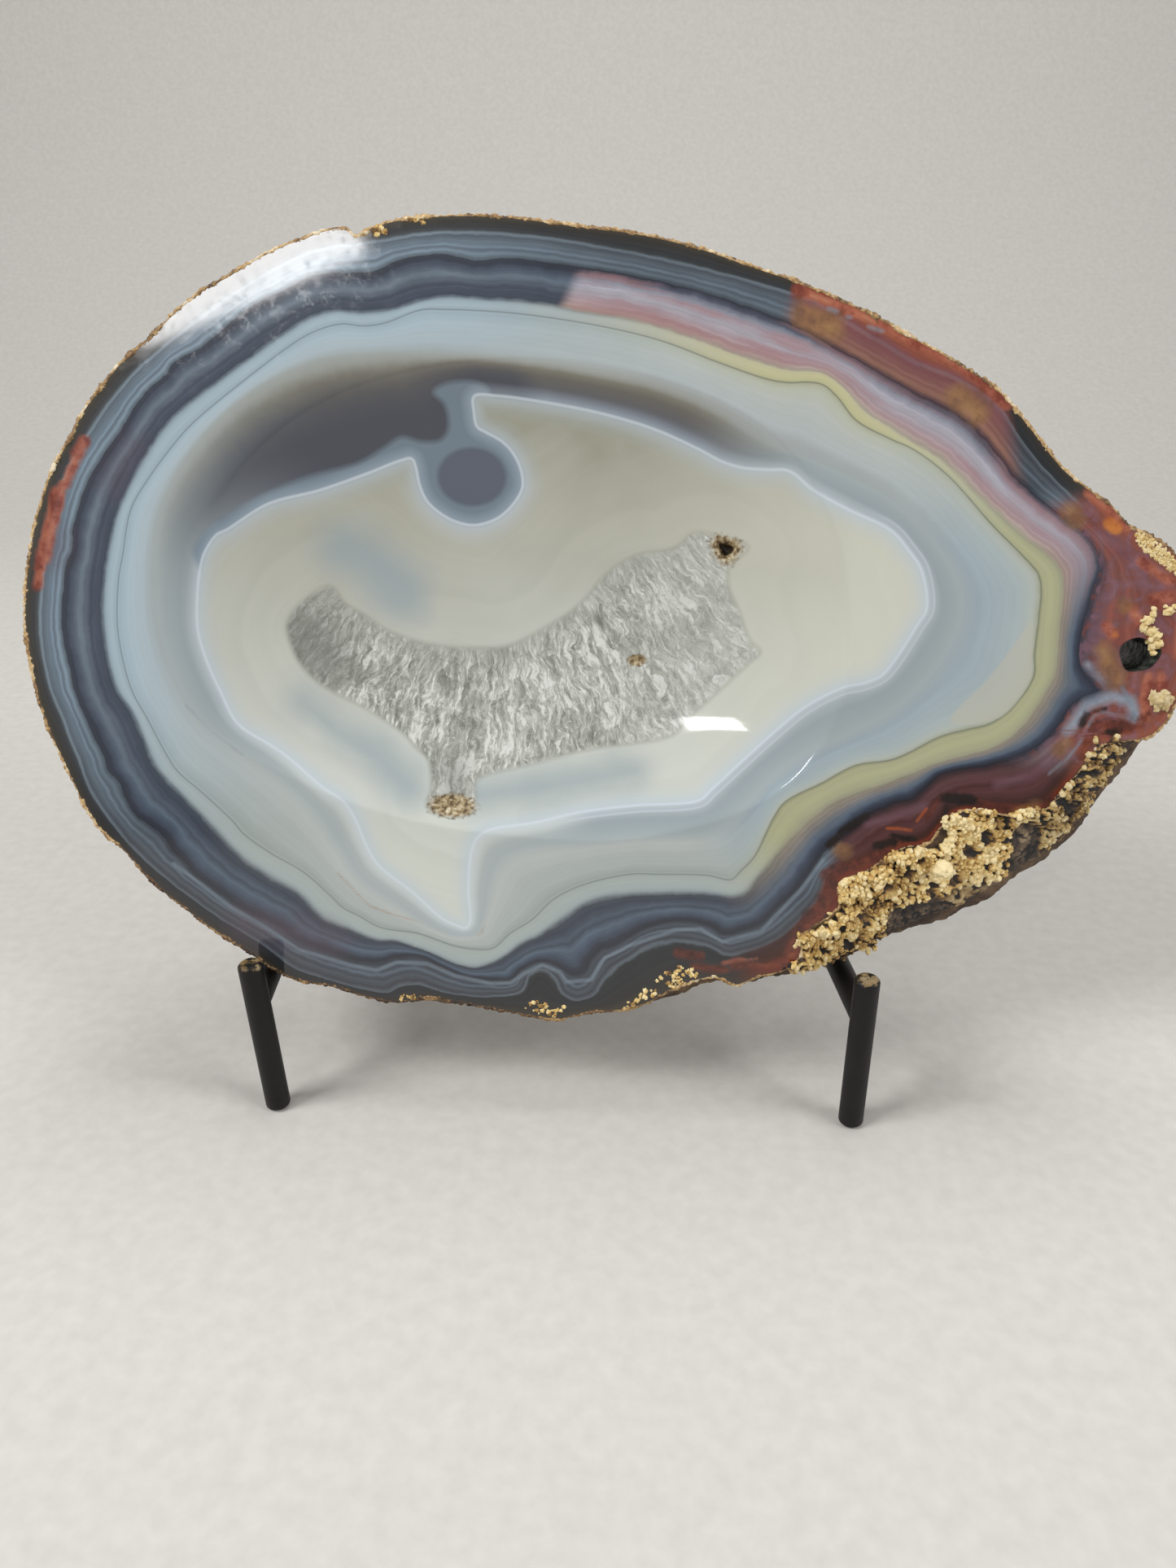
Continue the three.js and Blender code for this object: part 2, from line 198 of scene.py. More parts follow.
def face_depth(u, v):
    """Height of the polished face at a place: 0 on the flat, and below it in the hollow and the holes."""
    angle = np.arctan2(v - HEART_V, u - HEART_U)
    share = np.hypot(u - HEART_U, v - HEART_V) / rim_reach(angle)
    bowl = HOLLOW_DEPTH * (1 - np.minimum(share, 1) ** HOLLOW_CURVE)
    n = RIM_ROUNDING - np.sqrt(bowl**2 + RIM_ROUNDING**2)
    u, v = as_traced(u, v, n)
    for hollow in (DRUSY_FOOT, CHIP):
        n -= hollow[4] * soft(1.2 - off_centre(u, v, hollow), 0, 0.7)
    return n - POCKET_DEPTH * soft(depth_inside(POCKET, u, v), -0.4, 0.5)


# The lines of the banding, traced on the plane of the face from the rind inward. Each is where one layer
# of chalcedony ends on the cut: a light line under the rind, a navy one, the outer edge of the pale band,
# a fine dark seam, the soft edge of the light blue, and the white line round the cream heart.
RIM_LINE = [
    (-90.4, 48), (-92.5, 55), (-94.4, 61), (-95.4, 71), (-94.6, 78), (-92.5, 87), (-88.7, 98), (-83, 107),
    (-75, 116), (-66, 123), (-54, 130.7), (-43, 136), (-30, 138.1), (-20, 139.3), (-3, 138.5), (6.5, 137),
    (18.4, 134.8), (36.5, 130.5), (43, 128.4), (48, 125.5), (54, 122.2), (61, 118.6), (67, 116.5),
    (75, 111.7), (78.4, 107), (82.7, 102.2), (90, 95.6), (95.5, 91), (100, 88), (105, 84.5), (108, 78),
    (109, 71), (108, 64), (106, 60), (103.5, 58), (101, 58.8), (97, 58.2), (94.5, 54.5), (91.5, 49.5),
    (87, 44), (76, 43), (71, 41.5), (67.5, 37), (62, 35.3), (56, 31.5), (50.5, 28.5), (48.8, 23.5),
    (44, 17.5), (40, 14.5), (35, 12.6), (32, 12), (29, 13.6), (22, 14.6), (17, 13.4), (13.5, 10.8),
    (10.5, 8.6), (8.6, 6.2), (6.8, 3.2), (3.6, 2), (1, 3.4), (-0.6, 6.8), (-3, 8.2), (-5.6, 7), (-7, 3.6),
    (-14, 2.2), (-22, 2.9), (-27, 4.4), (-30.6, 4), (-33, 2.6), (-40, 3.6), (-47.2, 5.7), (-51.5, 7.4),
    (-57.2, 11.9), (-65.3, 17.1), (-71, 21.4), (-76.3, 25.7), (-80.6, 29.8), (-84.4, 34.8), (-88.2, 41),
]
NAVY_LINE = [
    (-85.1, 48.5), (-86.8, 52.3), (-88.2, 56.1), (-89.6, 60.4), (-90.2, 64.7), (-91, 72.3), (-90.3, 78),
    (-89.2, 83.7), (-88, 85.8), (-87.4, 89.6), (-83.9, 98.2), (-77.2, 107), (-73, 112.7), (-68.7, 116.2),
    (-67.5, 118), (-62, 120.8), (-53.4, 127.2), (-47.7, 129.8), (-42.5, 132.2), (-36.8, 132.6),
    (-31.5, 132.9), (-27.8, 134.6), (-20.2, 135.6), (-14.5, 134.7), (-8.3, 135), (-0.7, 134.1),
    (12.7, 132.2), (26, 129.1), (39.8, 124.3), (49.8, 119.3), (61.7, 113.1), (68.4, 110), (73.6, 105.5),
    (78.9, 99.6), (84.1, 95.6), (90.3, 91.3), (93.1, 88.5), (94.6, 85.4), (93.4, 79), (92.4, 71.3),
    (93.1, 67.5), (95.5, 65), (97.2, 63.4), (95.5, 62), (92.5, 61), (90.6, 57.6), (88, 54), (84, 51.5),
    (77, 49.5), (74.1, 49), (69.3, 47.6), (67.4, 45.7), (64.6, 43.1), (61.7, 42.4), (57, 40), (54.1, 37.1),
    (51.7, 34.8), (49.3, 32.6), (45, 25.6), (40, 20.6), (38, 18.4), (34.6, 17), (31.2, 16.3), (28.5, 18),
    (22.6, 18.7), (17, 17.4), (13, 15), (10, 13.2), (8.2, 12.8), (6.2, 10.6), (5, 8), (3, 7.2), (0.5, 8.6),
    (-3, 9.8), (-7, 8), (-9.4, 5.8), (-13, 5.9), (-18.3, 6.6), (-22.6, 8.6), (-26, 10.2), (-31, 10.2),
    (-34, 9.2), (-40, 9.6), (-46.8, 12), (-50, 13.2), (-53, 15.6), (-59.1, 18.6), (-61.5, 20), (-64.4, 22),
    (-67.2, 24.2), (-69.6, 26), (-71, 28), (-73.4, 30.6), (-74.9, 33.6), (-76.8, 35), (-79.6, 37),
    (-81.5, 40.2), (-82.5, 43.3), (-84.4, 45.7),
]
PALE_EDGE = [
    (-76.3, 48.5), (-77.7, 52.8), (-79.1, 56.6), (-81.5, 60.4), (-82.7, 64.7), (-83.3, 73.2), (-82.5, 80.9),
    (-80.6, 88.5), (-79.1, 92.8), (-74.4, 101.2), (-68.7, 108.4), (-59.1, 115.5), (-45.8, 124.1),
    (-42.5, 125.8), (-38.7, 126.7), (-34.4, 126.4), (-29.2, 126.9), (-21.1, 128.9), (-12.6, 128.6),
    (-3.5, 127.9), (3.1, 126.7), (13.6, 125), (23.1, 122.2), (32.7, 118.9), (40, 117.2), (44.1, 117.1),
    (46.5, 116), (49.3, 113.6), (51.7, 111), (55, 108.9), (61.7, 105), (65.5, 102.9), (71.8, 97.5),
    (81.7, 89.4), (84.6, 87.5), (87.4, 84.7), (88.4, 81.3), (88.4, 73.2), (88.4, 66.6), (87.4, 63.7),
    (83.6, 57), (80.8, 54.2), (77.4, 52.3), (69.3, 49.9), (60.8, 46.2), (52.2, 42.9), (47.9, 40.2),
    (43.1, 35.2), (37, 27), (35, 24.3), (32.7, 23.6), (27.9, 24), (18.4, 23.8), (8.9, 22.9), (5, 21.4),
    (-0.7, 17.1), (-4.5, 14.5), (-7.3, 13.1), (-9.7, 11), (-13, 9), (-15.9, 8.1), (-19.2, 8.6),
    (-25.4, 11.2), (-31.6, 13.3), (-34.4, 13.3), (-42, 16), (-44.9, 17.1), (-49.1, 21.9), (-52.5, 24),
    (-60.1, 29), (-65.3, 34.8), (-70.6, 40.7), (-75.3, 46.2),
]
DARK_SEAM = [
    (-73.2, 48.5), (-76.8, 56.1), (-78.7, 59.9), (-79.9, 64.2), (-80.8, 72.3), (-79.9, 81.3), (-78.9, 85.1),
    (-76.8, 93.2), (-73.4, 98.4), (-68.2, 104.6), (-64.9, 107.9), (-58.2, 113.1), (-44.9, 122.2),
    (-41, 123.9), (-37.7, 124.6), (-33.7, 124.3), (-30.2, 124.8), (-24, 126.9), (-19.7, 127),
    (-11.6, 126.7), (-4, 126), (7.9, 124.2), (17.4, 122), (27, 118.6), (35.5, 115.9), (38.9, 115.4),
    (42.7, 115.5), (45, 115), (47.4, 113.1), (50.8, 109.3), (57, 106.2), (60.8, 104.6), (67, 100.3),
    (75.5, 91.8), (81.7, 86.1), (83.9, 83.7), (84.6, 81.3), (84.7, 77), (84.5, 69.4), (84.7, 65.6),
    (81.7, 60.4), (79.8, 58.5), (77.4, 57), (74.1, 56.1), (69.3, 54.7), (61.2, 50.4), (54.1, 49),
    (48.4, 45.7), (41.7, 41.9), (39.8, 39), (36.5, 31.4), (34.1, 28.6), (32.4, 26.9), (27.9, 27.6),
    (18.4, 27.6), (13.6, 27.5), (5.5, 25.5), (-0.7, 22.4), (-5, 18.1), (-9.2, 15.2), (-12.6, 12.1),
    (-15.9, 11.9), (-19.7, 12.4), (-26.9, 14.8), (-34, 15.8), (-38.2, 18.1), (-41, 19.5), (-43.4, 21.9),
    (-48.7, 26.7), (-54.4, 30), (-59.6, 33.8), (-61.5, 36.2), (-66.8, 41.4), (-71.5, 45.7),
]
SOFT_EDGE = [
    (-59.1, 49), (-65.8, 54.2), (-68.7, 58), (-70.6, 61.8), (-73.2, 69.4), (-73.9, 79), (-72.5, 90.9),
    (-69.6, 97.5), (-65.3, 103.6), (-59.1, 109.8), (-51.5, 115), (-42.5, 118.6), (-33, 119.9), (-22.1, 119.9),
    (-10.2, 119.3), (8.9, 116.5), (18.4, 114.3), (27.9, 110.5), (36.5, 105.5), (42, 103.6), (50, 100.5),
    (56, 97.5), (62, 93), (66, 89), (70, 84), (72, 78), (70, 70), (66, 64), (60, 58), (53, 54), (46, 50.5),
    (40, 46), (33, 38), (28, 35), (14, 34), (0, 32), (-8, 30), (-11, 27), (-13, 20), (-15, 15), (-19, 14),
    (-24, 15.4), (-31, 19.5), (-38, 24.5), (-43, 32), (-48, 39.5),
]
WHITE_LINE = [
    (-59.6, 89.9), (-61.5, 89), (-63.2, 87), (-64.4, 84.7), (-65.6, 79), (-66, 72.3), (-65.3, 68.5),
    (-64.1, 64.7), (-62.5, 60.9), (-59.6, 54.9), (-53.9, 51.1), (-50.6, 48.8), (-43.9, 42.9), (-40.6, 40.7),
    (-38.7, 38.1), (-35.8, 31), (-33.9, 28), (-27.8, 23.1), (-22.1, 17.9), (-19.7, 16.7), (-17.6, 16.1),
    (-16.9, 17.1), (-16.8, 19.5), (-17.1, 23.3), (-16.4, 31.4), (-15.2, 34), (-13, 35.5), (-4.5, 37.1),
    (4.1, 39.3), (13.6, 40.7), (26, 42), (27.9, 43.8), (33.6, 49.5), (38.9, 54.7), (44.6, 59.7),
    (51.2, 63.3), (55, 64.2), (57.9, 65.6), (59.8, 68), (63.6, 74.7), (65, 77.5), (63.6, 84.2),
    (61.2, 87.5), (57.9, 90.9), (50.3, 94.4), (44, 97.7), (39.8, 100.8), (36, 101), (31.7, 101.3),
    (27.9, 102.4), (24.1, 104.3), (16, 107.7), (6.5, 110.3), (-3, 112), (-11.1, 113), (-15, 112.9),
    (-15, 110.3), (-14.5, 107.9), (-13, 107), (-10.2, 105.5), (-8.3, 103.6), (-6.9, 100.8), (-6.6, 97.7),
    (-8.3, 94.7), (-11.1, 92.3), (-15, 91.1), (-18.3, 91.6), (-21.1, 93), (-23.5, 95.1), (-24.8, 97.8),
    (-25.5, 101.2), (-26.1, 102.4), (-28.2, 102), (-34, 99.8), (-42.5, 96.9), (-52, 94.4),
]
# Inside them: the clear quartz in the middle, and the blue-grey strip that parts the dark lobe at the upper
# left from the white line and runs round the eye.
QUARTZ = [
    (-41.3, 80.1), (-46.8, 77), (-48.9, 74.7), (-49.6, 72.8), (-49.1, 69.9), (-47.7, 66.6), (-45.3, 63.7),
    (-42.5, 61.6), (-35.3, 58), (-28.3, 53.2), (-26.4, 50.9), (-24.2, 48.6), (-23.8, 42.9), (-24.7, 40.2),
    (-23.8, 38.8), (-20.7, 38.1), (-17.3, 38.6), (-15.7, 40.2), (-15.4, 44.8), (-13.5, 46), (-5.4, 48.2),
    (5, 51.1), (20.8, 54.2), (23.1, 56.8), (34.1, 67.5), (36, 69.4), (34.1, 71.3), (31.7, 77), (29.8, 81.3),
    (30, 84.7), (33.1, 87.8), (29.3, 89.2), (23.6, 90), (20.3, 87.5), (13.6, 86.1), (8.4, 82.8), (4.1, 77.8),
    (-1.1, 74), (-9.2, 69.9), (-14, 69.4), (-23.5, 69.9), (-31.1, 72.3), (-35.3, 75.1), (-38.7, 77),
]
BLUE_STRIP = [
    (-66, 85.6), (-63.9, 89.2), (-58.2, 93.2), (-51.5, 96.6), (-44.9, 99.1), (-35.3, 101.7), (-31.1, 104.1),
    (-27.8, 106), (-24.5, 105.3), (-21.1, 105.5), (-19.7, 107), (-19.5, 109.3), (-20.2, 111.7),
    (-22.1, 113.6), (-19, 115.2), (-13, 114.6), (-11, 110), (-4, 104), (-3, 97), (-9, 90), (-16, 88),
    (-24, 91), (-28, 98), (-40, 94), (-52, 91), (-60, 86), (-64, 82),
]
EYE = (-15.5, 99.4, 12.2, 10)


def depth_inside(points, u, v):
    """How far each place lies inside a traced line, in millimetres, and below 0 outside it."""
    loop = smooth_loop(points).astype(np.float32)
    ahead = np.roll(loop, -1, 0)
    turn = np.sign(np.sum(loop[:, 0] * ahead[:, 1] - ahead[:, 0] * loop[:, 1]))
    spots = np.stack([u, v], 1).astype(np.float32)
    depth = np.empty(len(spots), np.float32)
    batch = 20000    # so many places at a time, to keep the memory small
    for first in range(0, len(spots), batch):
        spot = spots[first:first + batch]
        near = ((loop**2).sum(1)[None] - 2 * spot @ loop.T).argmin(1)
        nearest = np.full(len(spot), np.inf, np.float32)
        for k in (near, (near - 1) % len(loop)):
            side = ahead[k] - loop[k]
            out = spot - loop[k]
            t = np.clip((out * side).sum(1) / (side**2).sum(1), 0, 1)
            away = np.linalg.norm(out - t[:, None] * side, axis=1)
            facing = np.where(side[:, 0] * out[:, 1] - side[:, 1] * out[:, 0] >= 0, turn, -turn)
            nearest = np.where(away < np.abs(nearest), away * facing, nearest)
        depth[first:first + batch] = nearest
    return depth


# Smaller markings inside the layers, drawn as strokes: half the width, and then the points of the line.
# Red jasper and rust stain along the edge, ochre spots, near-black pockets, slate and white lines, pale
# mauve wisps, a plum haze at the lower left and a bluish glow at the point of the navy layer.
RUST = [
    (0.9, (-94.9, 80), (-93.9, 84)), (1.3, (-93.5, 84.6), (-92.6, 88), (-89.7, 96)),
    (0.9, (-89, 97), (-84.4, 105)),
    (0.9, (40, 130.2), (46, 128.1), (52, 125.8), (60, 122), (66, 119.4), (71, 116.6), (76, 112)),
    (0.7, (91, 97.4), (95, 94.8), (98.6, 91.6)), (0.8, (101.1, 86.1), (104, 84.5), (106.5, 82.7)),
    (0.9, (96.7, 74.8), (97.7, 73.4)), (1, (101.1, 77.2), (102.2, 76)), (0.9, (107, 66), (107.4, 62)),
    (0.8, (109.4, 70), (109.2, 77)), (1, (104.8, 66), (104.6, 62), (105.2, 58.6)),
    (1.1, (104.6, 79.6), (107, 80)), (0.3, (31.7, 10.3), (34.8, 11), (37.8, 11.3)),
]
JASPER_RED = [
    (1, (105.2, 58.6), (102.6, 56.5), (99, 57.2), (96.4, 57), (95.3, 55), (95, 52)),
    (1.1, (50, 28.2), (54, 29.9), (59, 31.7), (62.5, 34)),
    (1.4, (44.2, 12.6), (46, 17.4), (49.8, 22.4), (51, 27)),
    (0.7, (33.4, 9.6), (36, 9.9), (40, 10), (43.4, 10.6)),
    (0.8, (76, 42.4), (80, 41.6), (86, 41.4), (89.4, 42.8)), (0.35, (70.6, 43.6), (69, 41.8), (67.7, 39.4)),
    (0.8, (22.8, 12), (27.2, 11.6)), (0.7, (26, 9.4), (32, 8.8)),
]
AMBER = [(1.1, (95.4, 92.4), (96.5, 91.6)), (0.4, (98.2, 73.4), (98.3, 73.3))]
EMBER = [
    (0.2, (60.6, 37.3), (62.8, 37.3), (65, 37)), (0.18, (66, 38.8), (67.6, 41.2)),
    (0.2, (94.2, 55), (95, 57.2)),
]
OCHRE = [
    (2, (41.4, 126.2), (46, 124.4)), (1.8, (67.6, 113.6), (71.4, 110.6)), (1.3, (88.4, 94.6), (89.5, 92.9)),
    (1, (52.2, 33.2), (53, 32.8)), (0.8, (99.3, 78.4), (99.6, 78)), (0.9, (91.6, 54), (90.6, 52.6)),
    (1.5, (96.4, 70.5), (97.7, 67.6), (99.4, 65.4)),
    (0.4, (-15.3, 15.2), (-15, 15.8)), (0.7, (84.6, 41), (87, 41.6)), (0.3, (-20, 103), (-19.8, 102.8)),
]
THREAD = [(0.12, (-42, 26.5), (-36, 20), (-31, 18.2), (-24, 16.5), (-19, 14.9), (-15, 14.6))]
BLACK = [
    (0.9, (70.6, 43.2), (75.4, 43.1)), (0.8, (59, 34), (62, 34.8)), (0.45, (61.6, 36), (66, 35.2)),
    (0.8, (50.2, 33.8), (53, 37), (56.6, 39.4)), (0.7, (93.9, 57), (94.6, 58.8)),
    (0.6, (98.2, 55.8), (100.6, 55.8)), (0.3, (93.6, 57.3), (95.4, 59.4), (97.9, 60.2)),
    (0.6, (71, 41.6), (71, 38.6)), (0.6, (49.6, 18.4), (51, 20.4)),
]
SLATE = [
    (
        0.3, (-73.4, 27.6), (-63, 19.2), (-55.3, 14.6), (-50.1, 10.9), (-40.1, 7.9), (-35, 7), (-31, 8.8),
        (-25, 8.6), (-20, 6.4), (-13, 4.9), (-9, 5.2), (-6.8, 6.9), (-3, 8.9), (0.4, 7.6), (1.6, 5.6),
        (6.5, 6.2), (8.9, 10.7), (13.6, 13.3), (22.2, 16.6), (27, 17), (31.2, 14.5), (38.4, 16.7),
        (45.5, 25.2), (49.3, 31),
    ),
    (
        0.2, (89, 48), (92, 51), (94, 53.8), (94.9, 56.5), (96, 58.8), (97.5, 59.5), (101.5, 58.8),
        (103.4, 57.8),
    ),
    (0.25, (103.4, 57.8), (102.6, 61), (100.4, 64)), (0.2, (-69, 58), (-64, 53), (-59, 49)),
    (0.3, (45.2, 127.4), (46.6, 126.9)), (0.25, (48.4, 126.1), (49, 125.9)),
    (0.3, (52, 124.5), (54.4, 123.8)),
]
MAUVE = [
    (0.6, (94.8, 70.5), (94.4, 74.3), (95.2, 78.3), (97.4, 81.6), (100.8, 82.5), (104.4, 81.7)),
    (0.9, (93.6, 90.6), (96.9, 88.9), (99.6, 86.6), (101, 84.7), (102.4, 82)),
    (0.4, (57, 38), (62, 39.6), (67, 41.6)), (0.6, (80, 46), (86, 47.6), (90, 51)),
    (0.8, (95.6, 68), (98, 65.4), (100.4, 64.2)),
    (
        0.25, (43, 128.1), (46, 127.1), (50, 124.8), (55, 122.2), (60, 118.9), (67, 116.8), (72, 113.2),
        (76, 110),
    ),
]
PLUM = [(3, (-60, 16), (-44, 13)), (1.5, (-92, 84), (-90, 88)), (1.5, (-80, 98), (-76, 104))]
GLOW = [
    (0.9, (91.8, 56.1), (94.6, 60.8), (98.9, 62.5), (102.1, 61.6), (103.6, 58.6)),
    (0.4, (94, 68), (97.6, 64.8)),
]
# A flat pale wedge beside the dark seam at the lower right, and inside the heart the blue-grey clouds, the
# haze over the upper edge of the quartz and its smoky ends.
WEDGE = [(75, 57), (80, 58.6), (84.2, 65), (84.2, 70), (83.6, 75.6), (81.6, 72.6), (77, 65.6), (70.6, 57.6)]
CLOUDS = [
    (3.4, (-38, 87), (-33, 84), (-28.6, 80)), (2.4, (-47, 59), (-41, 53.5), (-34, 49.3), (-28.6, 44)),
    (1.6, (-16, 42), (-9, 43), (-1, 44.2), (14, 47.4)),
]
HAZE = [
    (
        0.1, (-41, 80), (-35.3, 75.1), (-23.5, 70.2), (-9.2, 70.2), (-1.1, 74.2), (8.4, 82.8), (13.6, 86.1),
        (20, 88),
    ),
]
SMOKE = [(4, (-47, 72), (-44, 68)), (0.2, (-20, 47), (-19.4, 43))]
FAR_OFF = 8.0


def off_strokes(strokes, u, v):
    """Distance of each place from the nearest of some strokes, less its half width: below 0 inside one.

    Places farther than FAR_OFF from all of them are said to be that far.
    """
    nearest = np.full(len(u), FAR_OFF)
    for half_width, *line in strokes:
        for (from_u, from_v), (to_u, to_v) in zip(line[:-1], line[1:]):
            side_u = to_u - from_u
            side_v = to_v - from_v
            t = np.clip(((u - from_u) * side_u + (v - from_v) * side_v) / (side_u**2 + side_v**2), 0, 1)
            away = np.hypot(u - from_u - t * side_u, v - from_v - t * side_v) - half_width
            nearest = np.minimum(nearest, away)
    return nearest


def add_attribute(piece, name, values):
    """One number for each point of a piece, for its material to read."""
    made = piece.data.attributes.new(name, "FLOAT", "POINT")
    made.data.foreach_set("value", np.ascontiguousarray(values, np.float32))


def lay_banding(piece, u, v, n):
    """Gives a piece of the polished face what its material needs to know of the banding at each point.

    The lines were traced on the plane of the face, so a point in the hollow takes the band that stands in
    front of it there. The runs of colour below go by direction, in degrees anticlockwise from the right, by
    place in millimetres and by band.
    """
    u, v = as_traced(u, v, n)
    lines = [FACE_EDGE, RIM_LINE, NAVY_LINE, PALE_EDGE, DARK_SEAM, SOFT_EDGE, WHITE_LINE]
    depths = [depth_inside(line, u, v) for line in lines]
    band = np.zeros(len(u))
    for outer, inner in zip(depths[:-1], depths[1:]):
        between = outer / np.maximum(outer - inner, 1e-6)
        band += np.where(inner >= 0, 1, np.where(outer <= 0, 0, np.clip(between, 0, 1)))
    around = np.degrees(np.arctan2(v - HEART_V, u - HEART_U))
    around = np.where(around < -120, around + 360, around)
    below_tip = 1 - soft(around, 17, 20)
    red_edge = soft(around, -66, -58) * (1 - soft(band, 0.85, 1.15))
    red_inner = soft(u, 49, 53) * soft(around, -45, -38)
    top_red = soft(u + 1.4 * band, 39, 43.5) * (1 - soft(u - 2.5 * band, 71, 77)) * soft(v, 90, 96)
    off_pits = np.minimum(off_centre(u, v, DRUSY_FOOT), off_centre(u, v, CHIP))
    in_pocket = depth_inside(POCKET, u, v)
    at_foot = soft(around, 178, 212) + soft(-around, 30, 48)
    at_top_right = (1 - 0.35 * soft(around, 30, 50)) * soft(around, 16, 22) * (1 - soft(around, 84, 118))
    known = {
        "band": band,
        "seam": depths[4],
        "heart": depths[6],
        "quartz": depth_inside(QUARTZ, u, v),
        "strip": depth_inside(BLUE_STRIP, u, v),
        "wedge": depth_inside(WEDGE, u, v),
        "eye": off_centre(u, v, EYE),
        "turn": around,
        "foot": np.clip(at_foot + at_top_right, 0, 1),
        # Where the inner band is painted paler at the foot and darker at the top, partly as painted light and
        # shade.
        "foot_pale_and_lit": np.clip(soft(around, 186, 206) + 1 - soft(around, -104, -84), 0, 1),
        "top_grey_and_shade": soft(around, 38, 70) * (1 - soft(around, 132, 182)),
        "lobe": soft(around, 99, 106) * (1 - soft(around, 142, 172)),
        "rosy": soft(u - 0.5 * (v - 125), -2.4, 0.4) * soft(around, 3, 17) * (1 - soft(around, 120, 130)),
        "rosy_end": soft(around, 14, 44),
        "lime": soft(-around, -92, -50) * soft(around, 14, 44),
        "olive": soft(around, -62, -40) * (1 - soft(around, 14, 44)),
        "jasper": np.maximum(red_edge, red_inner) * (1 - soft(around, -14, -8)),
        "tip": soft(around, -14, -8) * below_tip,
        "top_red": top_red,
        "double": soft(around, -105, -90) * (1 - soft(around, 22, 30)),
        "rust": off_strokes(RUST, u, v),
        "amber": off_strokes(AMBER, u, v),
        "jasper_red": off_strokes(JASPER_RED, u, v),
        "ember": off_strokes(EMBER, u, v),
        "ochre": off_strokes(OCHRE, u, v),
        "black": off_strokes(BLACK, u, v),
        "thread": off_strokes(THREAD, u, v),
        "slate": off_strokes(SLATE, u, v),
        "plum": off_strokes(PLUM, u, v),
        "glow": off_strokes(GLOW, u, v),
        "mauve": off_strokes(MAUVE, u, v),
        "cloud": off_strokes(CLOUDS, u, v),
        "haze": off_strokes(HAZE, u, v),
        "smoke": off_strokes(SMOKE, u, v),
        "pit": np.minimum(off_pits, 1 - 0.3 * (in_pocket + 1.4)),
        "pocket": in_pocket,
    }
    for name, values in known.items():
        add_attribute(piece, name, values)


# The polished face, in two pieces that meet on the flat just outside the rim of the hollow. Each is a web
# of rings and spokes, fine enough to carry bands a third of a millimetre wide.
MEETING_SHARE = 1.03
MIDDLE_SHARE = 0.012


def add_piece(name, points, quads, triangles=None):
    """A smooth-shaded mesh piece of points in metres, which rides with the stone and its easel."""
    mesh = bpy.data.meshes.new(name)
    mesh.vertices.add(len(points))
    mesh.vertices.foreach_set("co", np.asarray(points, np.float32).ravel())
    triangles = np.empty((0, 3), int) if triangles is None else triangles
    corners = np.concatenate([np.ravel(quads), np.ravel(triangles)]).astype(np.int32)
    sizes = np.concatenate([np.full(len(quads), 4), np.full(len(triangles), 3)])
    mesh.loops.add(len(corners))
    mesh.loops.foreach_set("vertex_index", corners)
    mesh.polygons.add(len(sizes))
    mesh.polygons.foreach_set("loop_start", np.concatenate([[0], np.cumsum(sizes)[:-1]]).astype(np.int32))
    mesh.polygons.foreach_set("use_smooth", np.ones(len(sizes), bool))
    mesh.update(calc_edges=True)
    mesh.validate()
    piece = bpy.data.objects.new(name, mesh)
    bpy.context.scene.collection.objects.link(piece)
    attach(piece, "root")
    return piece


def ring_faces(rings, count):
    """Quads between closed rings of equal count, numbered one ring after another."""
    r, i = np.meshgrid(np.arange(rings - 1), np.arange(count), indexing="ij")
    here = r * count + i
    beside = r * count + (i + 1) % count
    return np.stack([here, beside, beside + count, here + count], -1).reshape(-1, 4)


def polar_sheet(name, first_share, last_share, rings, spokes):
    """A sheet of the face. A share of 1 is the rim of the hollow, and of 2 the edge of the face.

    It goes round the hole through the tip, and the one that starts in the middle is closed with a fan there.
    """
    turn = np.linspace(0, 2 * math.pi, spokes, endpoint=False)
    share = np.linspace(first_share, last_share, rings)[:, None]
    rim = rim_reach(turn)
    reach = np.where(share <= 1, share * rim, rim + (share - 1) * (edge_reach(turn) - rim))
    u = (HEART_U + reach * np.cos(turn)).ravel()
    v = (HEART_V + reach * np.sin(turn)).ravel()
    faces = ring_faces(rings, spokes)
    away = off_hole(u, v)
    in_hole = away < 1
    u[in_hole] = HOLE_U + (u[in_hole] - HOLE_U) / away[in_hole]
    v[in_hole] = HOLE_V + (v[in_hole] - HOLE_V) / away[in_hole]
    faces = faces[~in_hole[faces].all(1)][:, ::-1]
    n = face_depth(u, v)
    if first_share == MIDDLE_SHARE:
        u = np.append(u, HEART_U)
        v = np.append(v, HEART_V)
        n = np.append(n, RIM_ROUNDING - HOLLOW_DEPTH)
        i = np.arange(spokes)
        fan = np.stack([np.full(spokes, len(u) - 1), i, (i + 1) % spokes], 1)
        piece = add_piece(name, off_face(u, v, n), faces, fan)
    else:
        piece = add_piece(name, off_face(u, v, n), faces)
    lay_banding(piece, u, v, n)
    return piece


polished_flat = polar_sheet("polished_flat", MEETING_SHARE, 2, rings=104, spokes=900)
polished_hollow = polar_sheet("polished_hollow", MIDDLE_SHARE, MEETING_SHARE, rings=118, spokes=700)


def linear(colour):
    """An sRGB hex colour as the linear values that a shader takes."""
    parts = [int(colour[k:k + 2], 16) / 255 for k in (1, 3, 5)]
    return [p / 12.92 if p <= 0.04045 else ((p + 0.055) / 1.055) ** 2.4 for p in parts] + [1]


